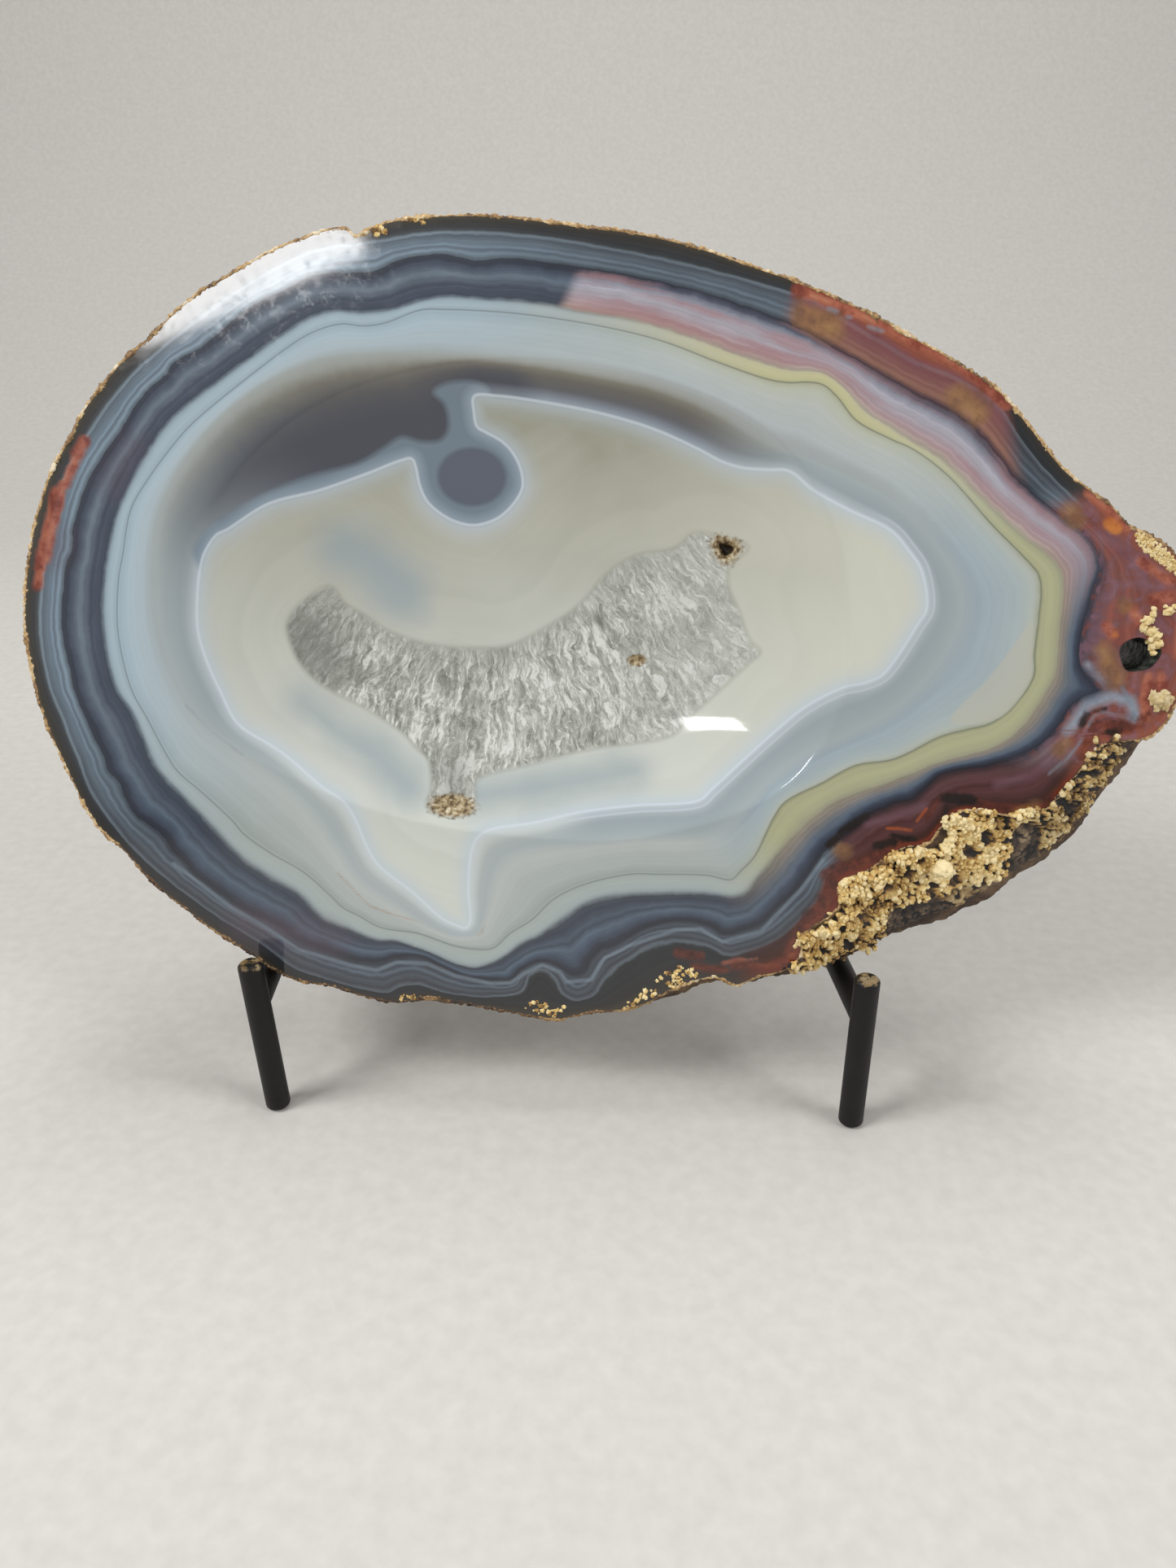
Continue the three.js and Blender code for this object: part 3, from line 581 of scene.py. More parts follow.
def add_node(tree, kind, inputs=None, stops=None, **settings):
    """Adds a shader node with its settings, its values or links by input, and a ramp's stops."""
    made = tree.nodes.new("ShaderNode" + kind)
    for name, value in settings.items():
        setattr(made, name, value)
    for key, value in (inputs or {}).items():
        if isinstance(value, bpy.types.NodeSocket):
            tree.links.new(value, made.inputs[key])
        else:
            made.inputs[key].default_value = linear(value) if isinstance(value, str) else value
    for place, (at, colour) in enumerate(stops or []):
        ramp = made.color_ramp.elements
        stop = ramp[place] if place < 2 else ramp.new(at)
        stop.position = at
        stop.color = linear(colour) if isinstance(colour, str) else (colour, colour, colour, 1)
    return made


def every(size):
    """The scale of a pattern whose marks are about so many millimetres apart."""
    return 1 / (size * MM)


def new_material(name):
    """A material with one Principled shader, and its node tree."""
    material = bpy.data.materials.new(name)
    material.use_nodes = True
    return material, material.node_tree, material.node_tree.nodes["Principled BSDF"]


# Banded chalcedony, a hard quartz stone, ground flat and polished: it has a glassy shine, and its colour lies
# in layers. A place's band is a whole number on each traced line, 0 at the edge and 6 at the white line.
# The cool layers are at the left and top, the deep ones at the foot, the rest where their names say.
COOL = [
    (0, "#4e473d"), (0.2, "#434039"), (0.55, "#403f40"), (0.84, "#484b4d"), (0.95, "#6c777e"),
    (1.02, "#7a8791"), (1.1, "#5b646d"), (1.25, "#65717b"), (1.5, "#748491"), (1.6, "#68747f"),
    (1.75, "#7b8c98"), (1.88, "#66717b"), (1.97, "#3d4149"), (2.08, "#3b3f4a"), (2.25, "#525b67"),
    (2.42, "#6a7580"), (2.54, "#5b646f"), (2.66, "#474d59"), (2.8, "#4b515d"), (2.9, "#424854"),
    (2.99, "#6b767f"), (3.1, "#8c9ca5"), (3.3, "#9aabb4"), (3.6, "#9fb0b8"), (3.85, "#97a7b0"),
    (4.08, "#9bacb6"), (4.3, "#a5b5bd"), (4.6, "#a6b4ba"), (4.9, "#a0aaae"), (5, "#98a0a1"),
]
DEEP = [
    (0, "#3b342c"), (0.25, "#302d2a"), (0.5, "#2d2e2f"), (0.82, "#292b2e"), (0.9, "#2c2d2e"),
    (0.98, "#5a636a"), (1.06, "#484d54"), (1.14, "#393c42"), (1.3, "#4b5259"), (1.42, "#40454d"),
    (1.55, "#56606a"), (1.66, "#3d424a"), (1.8, "#454c55"), (1.9, "#33373e"), (2, "#2b2e36"),
    (2.1, "#343843"), (2.25, "#455160"), (2.38, "#52606e"), (2.5, "#424a56"), (2.6, "#4a5461"),
    (2.75, "#3a404c"), (2.9, "#3e444e"), (3.02, "#737b80"), (3.14, "#929b9b"), (3.3, "#9ca6a5"),
    (3.7, "#a1a9a6"), (4.08, "#979f9b"), (4.3, "#a3aaa7"), (4.6, "#a6aca9"), (4.9, "#b0b5b2"),
    (5, "#acb1ae"),
]
OLIVE = [
    (2, "#2b2c35"), (2.12, "#2f323d"), (2.26, "#3d4554"), (2.42, "#586371"), (2.56, "#686e75"),
    (2.72, "#7b7672"), (2.88, "#888074"), (3, "#93907c"), (3.15, "#9f9f82"), (3.5, "#a9a986"),
    (3.85, "#a4a484"), (3.97, "#919174"), (4.08, "#acb2aa"), (4.3, "#a2adaf"), (4.7, "#9ba8ae"),
    (5, "#929fa6"),
]
ROSY = [
    (2, "#383a45"), (2.09, "#4d515e"), (2.2, "#7f828e"), (2.36, "#a19fa9"), (2.5, "#a5a0a8"),
    (2.64, "#a2949b"), (2.78, "#a38c8e"), (2.88, "#a7968f"), (2.97, "#b0a998"), (3.1, "#b4b2a3"),
    (3.5, "#b3b3a5"), (3.85, "#adac9d"), (4.08, "#aeb5ad"), (4.3, "#b0b7b5"), (4.7, "#abb3b4"),
    (5, "#999d9b"),
]
LIME = [
    (2.95, "#aea88f"), (3.05, "#b7b391"), (3.3, "#bab790"), (3.8, "#b4b28b"), (3.97, "#98967a"),
    (4.08, "#b1b4a3"), (4.3, "#b0b5af"), (4.7, "#abb2b2"), (5, "#979b9a"),
]
JASPER = [
    (0, "#5c2b1e"), (0.25, "#6b2d1d"), (0.5, "#44241a"), (0.75, "#3a221e"), (1, "#422825"), (1.2, "#543433"),
    (1.4, "#4a2c2a"), (1.6, "#5a3c3d"), (1.8, "#4d3435"), (1.92, "#32262a"), (2, "#22232a"), (2.1, "#2c3038"),
]
TIP = [
    (0, "#7f5140"), (0.3, "#8a4f3c"), (0.7, "#7d4c42"), (1, "#764b48"), (1.25, "#72453f"), (1.5, "#7a4e48"),
    (1.8, "#6f4d4d"), (1.93, "#4f424a"), (2, "#353842"), (2.1, "#3b404b"),
]
TOP_RED = [
    (0, "#7d3a25"), (0.5, "#8a4f3c"), (0.85, "#77403a"), (1, "#7d5c5c"), (1.15, "#76494a"), (1.5, "#7f5852"),
    (1.8, "#856053"), (1.93, "#4e3b40"), (2, "#44383f"), (2.06, "#7a6a6d"),
]
# Darker grey inside the soft edge at the top: partly the stone's own grey, partly painted shade on the
# hollow's upper wall.
TOP_GREY_AND_SHADE = [
    (5, "#9c9f98"), (5.07, "#909087"), (5.18, "#777469"), (5.35, "#63605a"), (5.6, "#5b5b5e"),
    (5.82, "#676d78"), (6, "#7e8893"),
]
DAY = [(5, "#a2aaab"), (5.3, "#98a2a4"), (5.6, "#939da1"), (5.85, "#a3abac"), (6, "#b9bebe")]
# Paler inside the soft edge at the foot: partly the stone's own tone, partly painted light on the hollow's
# upturned lower wall.
FOOT_PALE_AND_LIT = [(5, "#abb2b0"), (5.3, "#a1a9aa"), (5.55, "#a5acab"), (5.75, "#b8bdb9"), (6, "#c9ccc6")]
BANDS = 6
agate_material, tree, shader = new_material("polished_banded_chalcedony")
known = {
    name: add_node(tree, "Attribute", attribute_name=name).outputs["Fac"]
    for name in polished_flat.data.attributes.keys()
    if not name.startswith(".") and name != "position" and name != "sharp_face"
}
place = add_node(tree, "TexCoord").outputs["Object"]
# The layers waver by a third of a millimetre, in bumps about 2.5 mm long, less in the soft light ones.
ripple = add_node(tree, "TexNoise", {"Vector": place, "Scale": every(2.5), "Detail": 3}).outputs["Fac"]
centred = add_node(tree, "Math", {0: ripple, 1: 0.5}, operation="SUBTRACT").outputs[0]
reach = add_node(tree, "MapRange", {0: known["band"], 1: 2.9, 2: 3.4, 3: 0.14, 4: 0.05}).outputs[0]
band = add_node(tree, "Math", {0: centred, 1: reach, 2: known["band"]}, operation="MULTIPLY_ADD").outputs[0]
along = add_node(tree, "Math", {0: band, 1: 1 / BANDS}, operation="MULTIPLY").outputs[0]
layers = {
    name: add_node(tree, "ValToRGB", {0: along}, [(at / BANDS, tint) for at, tint in stops]).outputs[0]
    for name, stops in (
        ("cool", COOL), ("foot", DEEP), ("olive", OLIVE), ("rosy", ROSY), ("lime", LIME), ("jasper", JASPER),
        ("tip", TIP), ("top_red", TOP_RED), ("top_grey_and_shade", TOP_GREY_AND_SHADE), ("day", DAY), ("foot_pale_and_lit", FOOT_PALE_AND_LIT),
    )
}
past_navy = add_node(tree, "MapRange", {0: band, 1: 1.97, 2: 2.03}).outputs[0]
before_navy = add_node(tree, "MapRange", {0: band, 1: 2.06, 2: 1.99}).outputs[0]
pale = add_node(tree, "MapRange", {0: band, 1: 2.92, 2: 3.02}).outputs[0]
not_pale = add_node(tree, "MapRange", {0: band, 1: 3.02, 2: 2.92}).outputs[0]
rosy_dark = add_node(tree, "Math", {0: past_navy, 1: not_pale}, operation="MULTIPLY").outputs[0]
known["rosy_pale"] = add_node(tree, "MapRange", {0: known["turn"], 1: 104, 2: 66}).outputs[0]
known["rosy_pale"] = add_node(
    tree, "Math", {0: known["rosy_pale"], 1: known["rosy_end"]}, operation="MULTIPLY"
).outputs[0]
colour = layers["cool"]
for name, reach, tint in (
    ("foot", 1, "foot"), ("olive", past_navy, "olive"), ("rosy", rosy_dark, "rosy"),
    ("rosy_pale", pale, "rosy"), ("lime", pale, "lime"), ("jasper", before_navy, "jasper"),
    ("tip", before_navy, "tip"), ("top_red", before_navy, "top_red"),
):
    amount = add_node(tree, "Math", {0: reach, 1: known[name]}, operation="MULTIPLY").outputs[0]
    colour = add_node(tree, "Mix", {0: amount, 6: colour, 7: layers[tint]}, data_type="RGBA").outputs[2]

# At the tip the layers are stirred: lilac and rust-red wisps, about 5 mm across.
swirl = add_node(
    tree, "TexNoise", {"Vector": place, "Scale": every(5.26), "Detail": 3, "Distortion": 2.2}
).outputs["Fac"]
at_tip = add_node(tree, "Math", {0: known["tip"], 1: before_navy}, operation="MULTIPLY").outputs[0]
for least, most, tint in ((0.5, 0.64, "#7e5a65"), (0.5, 0.36, "#87483a")):
    amount = add_node(tree, "MapRange", {0: swirl, 1: least, 2: most, 4: 0.6}).outputs[0]
    amount = add_node(tree, "Math", {0: amount, 1: at_tip}, operation="MULTIPLY").outputs[0]
    colour = add_node(tree, "Mix", {0: amount, 6: colour, 7: tint}, data_type="RGBA").outputs[2]

# Finer lines, dark and light by turns, run through all the layers outside the soft edge, 0.3 to 1 mm apart.
# Real ones are finer still, and these are as coarse as they have to be to show. Streaks of about 9 by 1.5 mm
# follow the layers too, and wide ones of about 30 by 2 mm are pink in the rosy part. A degree round the
# face is about 1.4 mm long there, and a band is about 5 mm wide.
LINES_IN_BAND = 9
DEGREE = 1.4
BAND_WIDE = 5
STREAK_LONG = 8.75
STREAK_WIDE = 1.56
BLOTCH_LONG = 31.1
BLOTCH_WIDE = 1.92
lines = add_node(
    tree, "TexNoise", {"W": band, "Scale": LINES_IN_BAND, "Detail": 6, "Roughness": 0.7},
    noise_dimensions="1D",
)
shade = add_node(tree, "MapRange", {0: lines.outputs["Fac"], 1: 0.3, 2: 0.7, 3: 0.83, 4: 1.14}).outputs[0]
faint = add_node(tree, "MapRange", {0: band, 1: 2.9, 2: 3.1, 3: 1, 4: 0.2}).outputs[0]
colour = add_node(
    tree, "Mix", {0: faint, 6: colour, 7: shade}, data_type="RGBA", blend_type="MULTIPLY"
).outputs[2]
streak_turn = add_node(
    tree, "Math", {0: known["turn"], 1: DEGREE / STREAK_LONG}, operation="MULTIPLY"
).outputs[0]
streak_band = add_node(tree, "Math", {0: band, 1: BAND_WIDE / STREAK_WIDE}, operation="MULTIPLY").outputs[0]
streak_place = add_node(tree, "CombineXYZ", {"X": streak_turn, "Y": streak_band}).outputs[0]
streak = add_node(
    tree, "TexNoise", {"Vector": streak_place, "Scale": 1, "Detail": 4, "Roughness": 0.55}
).outputs["Fac"]
shade = add_node(tree, "MapRange", {0: streak, 1: 0.3, 2: 0.7, 3: 0.9, 4: 1.09}).outputs[0]
colour = add_node(
    tree, "Mix", {0: faint, 6: colour, 7: shade}, data_type="RGBA", blend_type="MULTIPLY"
).outputs[2]
wide_turn = add_node(
    tree, "Math", {0: known["turn"], 1: DEGREE / BLOTCH_LONG}, operation="MULTIPLY"
).outputs[0]
wide_band = add_node(tree, "Math", {0: band, 1: BAND_WIDE / BLOTCH_WIDE}, operation="MULTIPLY").outputs[0]
wide_place = add_node(tree, "CombineXYZ", {"X": wide_turn, "Y": wide_band}).outputs[0]
blotch = add_node(
    tree, "TexNoise", {"Vector": wide_place, "Scale": 1, "Detail": 2, "Distortion": 0.3}
).outputs["Fac"]
blotch = add_node(tree, "MapRange", {0: blotch, 1: 0.46, 2: 0.62, 4: 0.6}).outputs[0]
blotch = add_node(tree, "Math", {0: blotch, 1: known["rosy"]}, operation="MULTIPLY").outputs[0]
blotch = add_node(tree, "Math", {0: blotch, 1: rosy_dark}, operation="MULTIPLY").outputs[0]
colour = add_node(tree, "Mix", {0: blotch, 6: colour, 7: "#9a7274"}, data_type="RGBA").outputs[2]

# The strokes, each with a ragged edge and a colour that drifts along it about every 4 mm. For each come its
# raggedness and the softness of its edge in millimetres, its strength and its colours.
drift = add_node(
    tree, "TexNoise", {"Vector": place, "Scale": every(3.85), "Detail": 5, "Roughness": 0.65}
).outputs["Fac"]
ragged = add_node(tree, "MapRange", {0: drift, 1: 0.3, 2: 0.7, 3: -1, 4: 1}).outputs[0]
for name, raggedness, soft_edge, strength, stops in (
    ("plum", 0.5, 3, 0.45, [(0.35, "#54434c"), (0.65, "#5f4f5c")]),
    ("glow", 0.2, 0.8, 0.9, [(0.35, "#727e8c"), (0.65, "#96a2ae")]),
    ("mauve", 0.5, 0.8, 0.55, [(0.35, "#664550"), (0.65, "#806470")]),
    ("rust", 0.6, 0.45, 0.88, [(0.36, "#76392c"), (0.48, "#985643"), (0.58, "#ad6a51"), (0.7, "#bb8267")]),
    ("amber", 0.3, 0.35, 0.9, [(0.38, "#a65a2c"), (0.62, "#c9823f")]),
    (
        "jasper_red", 0.7, 0.5, 0.85,
        [(0.36, "#3c1f19"), (0.48, "#5a2b20"), (0.58, "#743a27"), (0.7, "#8a5034")],
    ),
    ("ember", 0.1, 0.25, 0.8, [(0.4, "#a04a24"), (0.6, "#b8602c")]),
    ("ochre", 1.1, 0.9, 0.7, [(0.38, "#75563a"), (0.5, "#8f6a42"), (0.66, "#a58050")]),
    ("thread", 0.1, 0.25, 0.6, [(0.4, "#8f6a44"), (0.6, "#a8764a")]),
    ("black", 0.4, 0.35, 0.9, [(0.35, "#17130f"), (0.7, "#2c221d")]),
    ("slate", 0.12, 0.3, 0.65, [(0.35, "#6b7882"), (0.7, "#8b97a2")]),
):
    drifting = add_node(tree, "ValToRGB", {0: drift}, stops).outputs[0]
    off = add_node(
        tree, "Math", {0: ragged, 1: raggedness, 2: known[name]}, operation="MULTIPLY_ADD"
    ).outputs[0]
    amount = add_node(tree, "MapRange", {0: off, 1: soft_edge, 2: -soft_edge, 4: strength}).outputs[0]
    colour = add_node(tree, "Mix", {0: amount, 6: colour, 7: drifting}, data_type="RGBA").outputs[2]

# The fine dark seam, and inside the soft edge a light grey-blue, darker grey at the top and paler at the
# foot, with the dark lobe at the upper left and the blue-grey strip that runs below it and round the eye. The
# darker top is partly the stone's own grey and partly painted shade on the steep upper wall of the hollow.
# The paler foot is partly painted light on the hollow's upturned lower wall.
across = add_node(tree, "MapRange", {0: known["seam"], 1: -1, 2: 1}).outputs[0]
seam = add_node(tree, "ValToRGB", {0: across}, [(0.38, 0.0), (0.45, 0.5), (0.5, 0.5), (0.57, 0.0)]).outputs[0]
colour = add_node(tree, "Mix", {0: seam, 6: colour, 7: "#5d6763"}, data_type="RGBA").outputs[2]
inner = add_node(
    tree, "Mix", {0: known["foot_pale_and_lit"], 6: layers["day"], 7: layers["foot_pale_and_lit"]}, data_type="RGBA"
).outputs[2]
inner = add_node(tree, "Mix", {0: known["top_grey_and_shade"], 6: inner, 7: layers["top_grey_and_shade"]}, data_type="RGBA").outputs[2]
lobe_in = add_node(tree, "MapRange", {0: band, 1: 5.02, 2: 5.62}, interpolation_type="SMOOTHSTEP").outputs[0]
amounts = {
    "inner": add_node(tree, "MapRange", {0: band, 1: 4.85, 2: 5.15}).outputs[0],
    "lobe": add_node(tree, "Math", {0: lobe_in, 1: known["lobe"]}, operation="MULTIPLY").outputs[0],
    "strip": add_node(tree, "MapRange", {0: known["strip"], 1: -0.6, 2: 0.6}).outputs[0],
    "eye": add_node(tree, "MapRange", {0: known["eye"], 1: 1.08, 2: 0.92}).outputs[0],
    "wedge": add_node(tree, "MapRange", {0: known["wedge"], 1: -0.2, 2: 0.3, 4: 0.7}).outputs[0],
}
for name, tint in (
    ("inner", inner), ("lobe", "#434650"), ("strip", "#6d7c88"), ("eye", "#555c6a"), ("wedge", "#b3b2a4"),
):
    colour = add_node(tree, "Mix", {0: amounts[name], 6: colour, 7: tint}, data_type="RGBA").outputs[2]

# The heart is olive grey at its top and creamy white lower down, and paler to the right. This is partly its
# own tone, and partly painted shade on the hollow's downward-facing upper wall and painted light on its
# upturned lower and right walls. Inside it run soft layers, about 4 mm apart, that follow the quartz, with
# blue-grey clouds, and the white line round it is double at the right and foot.
# Its foot and its top are given as heights over the table, in millimetres.
HEART_LOW = 40
HEART_HIGH = 140
sides = add_node(tree, "SeparateXYZ", {0: place})
drift_wide = add_node(
    tree, "TexNoise", {"Vector": place, "Scale": every(29.4), "Detail": 3, "Distortion": 0.5}
).outputs["Fac"]
# Darker with height over the table: partly the heart's own olive grey, partly painted shade.
up = add_node(tree, "MapRange", {0: sides.outputs["Z"], 1: HEART_LOW * MM, 2: HEART_HIGH * MM}).outputs[0]
up = add_node(tree, "Math", {0: drift_wide, 1: 0.3, 2: up}, operation="MULTIPLY_ADD").outputs[0]
cream = add_node(
    tree, "ValToRGB", {0: up},
    [
        (0.15, "#c7cabf"), (0.4, "#c4c7bf"), (0.56, "#c0c2b9"), (0.7, "#b9bab0"), (0.84, "#b0b0a4"),
        (0.95, "#a3a395"), (1, "#999989"),
    ],
).outputs[0]
from_quartz = add_node(tree, "Math", {0: known["quartz"], 1: MM}, operation="MULTIPLY").outputs[0]
from_quartz = add_node(
    tree, "Math", {0: drift_wide, 1: 14 * MM, 2: from_quartz}, operation="MULTIPLY_ADD"
).outputs[0]
soft_layers = add_node(
    tree, "TexNoise", {"W": from_quartz, "Scale": every(3.85), "Detail": 3, "Roughness": 0.6},
    noise_dimensions="1D",
).outputs["Fac"]
shade = add_node(tree, "MapRange", {0: soft_layers, 1: 0.3, 2: 0.7, 3: 0.965, 4: 1.035}).outputs[0]
cream = add_node(
    tree, "Mix", {0: 1.0, 6: cream, 7: shade}, data_type="RGBA", blend_type="MULTIPLY"
).outputs[2]
# Paler to the right: partly the heart's own tone, partly painted light.
paler_right_partly_lit = add_node(tree, "MapRange", {0: sides.outputs["X"], 1: 8 * MM, 2: 50 * MM, 4: 0.62}).outputs[0]
cream = add_node(tree, "Mix", {0: paler_right_partly_lit, 6: cream, 7: "#cfcfbf"}, data_type="RGBA").outputs[2]
drift_mid = add_node(tree, "TexNoise", {"Vector": place, "Scale": every(12.5), "Detail": 4}).outputs["Fac"]
cloud = add_node(tree, "Math", {0: drift_wide, 1: 3, 2: known["cloud"]}, operation="MULTIPLY_ADD").outputs[0]
cloud = add_node(tree, "Math", {0: drift_mid, 1: 6, 2: cloud}, operation="MULTIPLY_ADD").outputs[0]
cloudy = add_node(
    tree, "MapRange", {0: cloud, 1: 10.4, 2: 1.4, 4: 0.85}, interpolation_type="SMOOTHSTEP"
).outputs[0]
cream = add_node(tree, "Mix", {0: cloudy, 6: cream, 7: "#98a3a6"}, data_type="RGBA").outputs[2]
in_heart = add_node(tree, "MapRange", {0: known["heart"], 1: -0.1, 2: 0.6}).outputs[0]
colour = add_node(tree, "Mix", {0: in_heart, 6: colour, 7: cream}, data_type="RGBA").outputs[2]
across = add_node(tree, "MapRange", {0: known["heart"], 1: -4, 2: 4}).outputs[0]
glow = add_node(
    tree, "ValToRGB", {0: across},
    [(0.22, 0.0), (0.46, 0.36), (0.5, 0.6), (0.62, 0.46), (0.78, 0.16), (1, 0.0)],
).outputs[0]
white = add_node(
    tree, "ValToRGB", {0: across}, [(0.45, 0.0), (0.48, 0.6), (0.51, 0.6), (0.54, 0.0)]
).outputs[0]
second = add_node(
    tree, "ValToRGB", {0: across}, [(0.3, 0.0), (0.33, 0.55), (0.35, 0.55), (0.38, 0.0)]
).outputs[0]
second = add_node(tree, "Math", {0: second, 1: known["double"]}, operation="MULTIPLY").outputs[0]
for amount, tint in ((glow, "#b2c0cc"), (white, "#ccd3d9"), (second, "#c0c6cd")):
    colour = add_node(tree, "Mix", {0: amount, 6: colour, 7: tint}, data_type="RGBA").outputs[2]

# Clear quartz in the middle: crystals cut across, 1.5 mm wide and 5 mm long, which fan out from a spot about
# 66 mm above them. They are grey where they are clear, with paler flaws, and hazy along their upper edge.
# Bright flecks of about 1 mm, drawn coarser than the real ones so that they show, are painted sparkle: a
# painted glint of light off the crystals.
FAN_REACH = 66
CRYSTAL_WIDE = 1.5
CRYSTAL_LONG = 5.26
FLECK_WIDE = 0.943
FLECK_LONG = 1.11
fan_spot = tuple(off_face(-12, 118, -8))
from_fan = add_node(tree, "VectorMath", {0: place, 1: fan_spot}, operation="SUBTRACT").outputs[0]
bent = add_node(
    tree, "TexNoise", {"Vector": place, "Scale": every(9.09), "Detail": 4, "Roughness": 0.6}
).outputs["Color"]
bend = add_node(tree, "VectorMath", {0: bent, 1: (0.5, 0.5, 0.5)}, operation="SUBTRACT").outputs[0]
bend = add_node(tree, "VectorMath", {0: bend, "Scale": 6 * MM}, operation="SCALE").outputs[0]
from_fan = add_node(tree, "VectorMath", {0: from_fan, 1: bend}, operation="ADD").outputs[0]
radius = add_node(tree, "VectorMath", {0: from_fan}, operation="LENGTH").outputs["Value"]
split = add_node(tree, "SeparateXYZ", {0: from_fan})
swing = add_node(tree, "Math", {0: split.outputs["Z"], 1: split.outputs["X"]}, operation="ARCTAN2").outputs[0]
wide = add_node(tree, "Math", {0: swing, 1: FAN_REACH / CRYSTAL_WIDE}, operation="MULTIPLY").outputs[0]
long = add_node(tree, "Math", {0: radius, 1: every(CRYSTAL_LONG)}, operation="MULTIPLY").outputs[0]
crystal_place = add_node(tree, "CombineXYZ", {"X": wide, "Y": long}).outputs[0]
crystals = add_node(tree, "TexVoronoi", {"Vector": crystal_place, "Scale": 1, "Randomness": 1})
crystal = add_node(tree, "SeparateXYZ", {0: crystals.outputs["Color"]}).outputs[0]
small = add_node(tree, "TexVoronoi", {"Vector": crystal_place, "Scale": 2.6, "Randomness": 1})
splinter = add_node(tree, "SeparateXYZ", {0: small.outputs["Color"]}).outputs[1]
streaks = add_node(
    tree, "TexNoise", {"Vector": crystal_place, "Scale": 1.6, "Detail": 7, "Roughness": 0.7}
).outputs["Fac"]
clear = add_node(tree, "TexNoise", {"Vector": place, "Scale": every(8.33), "Detail": 3}).outputs["Fac"]
tone = add_node(tree, "Math", {0: crystal, 1: 0.16, 2: streaks}, operation="MULTIPLY_ADD").outputs[0]
tone = add_node(tree, "Math", {0: splinter, 1: 0.16, 2: tone}, operation="MULTIPLY_ADD").outputs[0]
tone = add_node(tree, "Math", {0: clear, 1: 0.4, 2: tone}, operation="MULTIPLY_ADD").outputs[0]
quartz = add_node(
    tree, "ValToRGB", {0: tone},
    [
        (0.58, "#6f716a"), (0.7, "#85877f"), (0.8, "#9a9c94"), (0.88, "#adaea6"), (0.95, "#c1c2ba"),
        (1, "#d6d7d1"),
    ],
).outputs[0]
smoky = add_node(tree, "MapRange", {0: known["smoke"], 1: 6, 2: -1, 4: 0.7}).outputs[0]
hazy = add_node(tree, "MapRange", {0: known["haze"], 1: 5, 2: 0.4, 4: 0.55}).outputs[0]
fleck_wide = add_node(tree, "Math", {0: swing, 1: FAN_REACH / FLECK_WIDE}, operation="MULTIPLY").outputs[0]
fleck_long = add_node(tree, "Math", {0: radius, 1: every(FLECK_LONG)}, operation="MULTIPLY").outputs[0]
sparkle_place = add_node(tree, "CombineXYZ", {"X": fleck_wide, "Y": fleck_long}).outputs[0]
flecks = add_node(
    tree, "TexNoise", {"Vector": sparkle_place, "Scale": 1, "Detail": 5, "Roughness": 0.75, "Distortion": 1.2}
).outputs["Fac"]
# Painted glints: near-white sparkle flecks in the quartz.
painted_sparkle = add_node(tree, "MapRange", {0: flecks, 1: 0.56, 2: 0.68, 4: 0.75}).outputs[0]
gap = add_node(tree, "MapRange", {0: flecks, 1: 0.44, 2: 0.34, 4: 0.5}).outputs[0]
mist = add_node(tree, "MapRange", {0: split.outputs["X"], 1: 18 * MM, 2: 40 * MM, 4: 0.5}).outputs[0]
for amount, tint in (
    (mist, "#b8bab3"), (gap, "#696b64"), (painted_sparkle, "#dddfda"), (smoky, "#74766f"), (hazy, "#a3a59d"),
):
    quartz = add_node(tree, "Mix", {0: amount, 6: quartz, 7: tint}, data_type="RGBA").outputs[2]
in_quartz = add_node(tree, "MapRange", {0: known["quartz"], 1: -0.3, 2: 0.5}).outputs[0]
edge = add_node(tree, "MapRange", {0: known["quartz"], 1: -0.8, 2: 0, 4: 0.4}).outputs[0]
colour = add_node(tree, "Mix", {0: edge, 6: colour, 7: "#8a887e"}, data_type="RGBA").outputs[2]
colour = add_node(tree, "Mix", {0: in_quartz, 6: colour, 7: quartz}, data_type="RGBA").outputs[2]

# Golden-grey druse in the small holes, in grains of 0.8 mm, coarser than the real ones so that they show, and
# near-black painted shade deep in the open pocket.
druse = add_node(tree, "TexNoise", {"Vector": place, "Scale": every(0.77), "Detail": 4}).outputs["Fac"]
in_pit = add_node(tree, "Math", {0: druse, 1: 1, 2: known["pit"]}, operation="MULTIPLY_ADD").outputs[0]
in_pit = add_node(tree, "MapRange", {0: in_pit, 1: 1.65, 2: 1.3}).outputs[0]
druse = add_node(
    tree, "ValToRGB", {0: druse},
    [(0.35, "#4d3c26"), (0.46, "#86714e"), (0.58, "#ab9a76"), (0.7, "#d2c9b0")],
).outputs[0]
colour = add_node(tree, "Mix", {0: in_pit, 6: colour, 7: druse}, data_type="RGBA").outputs[2]
# Painted shade: near black deep inside the open pocket.
in_pocket = add_node(tree, "MapRange", {0: known["pocket"], 1: 0, 2: 0.25, 4: 0.92}).outputs[0]
colour = add_node(tree, "Mix", {0: in_pocket, 6: colour, 7: "#21180f"}, data_type="RGBA").outputs[2]
tree.links.new(colour, shader.inputs["Base Color"])
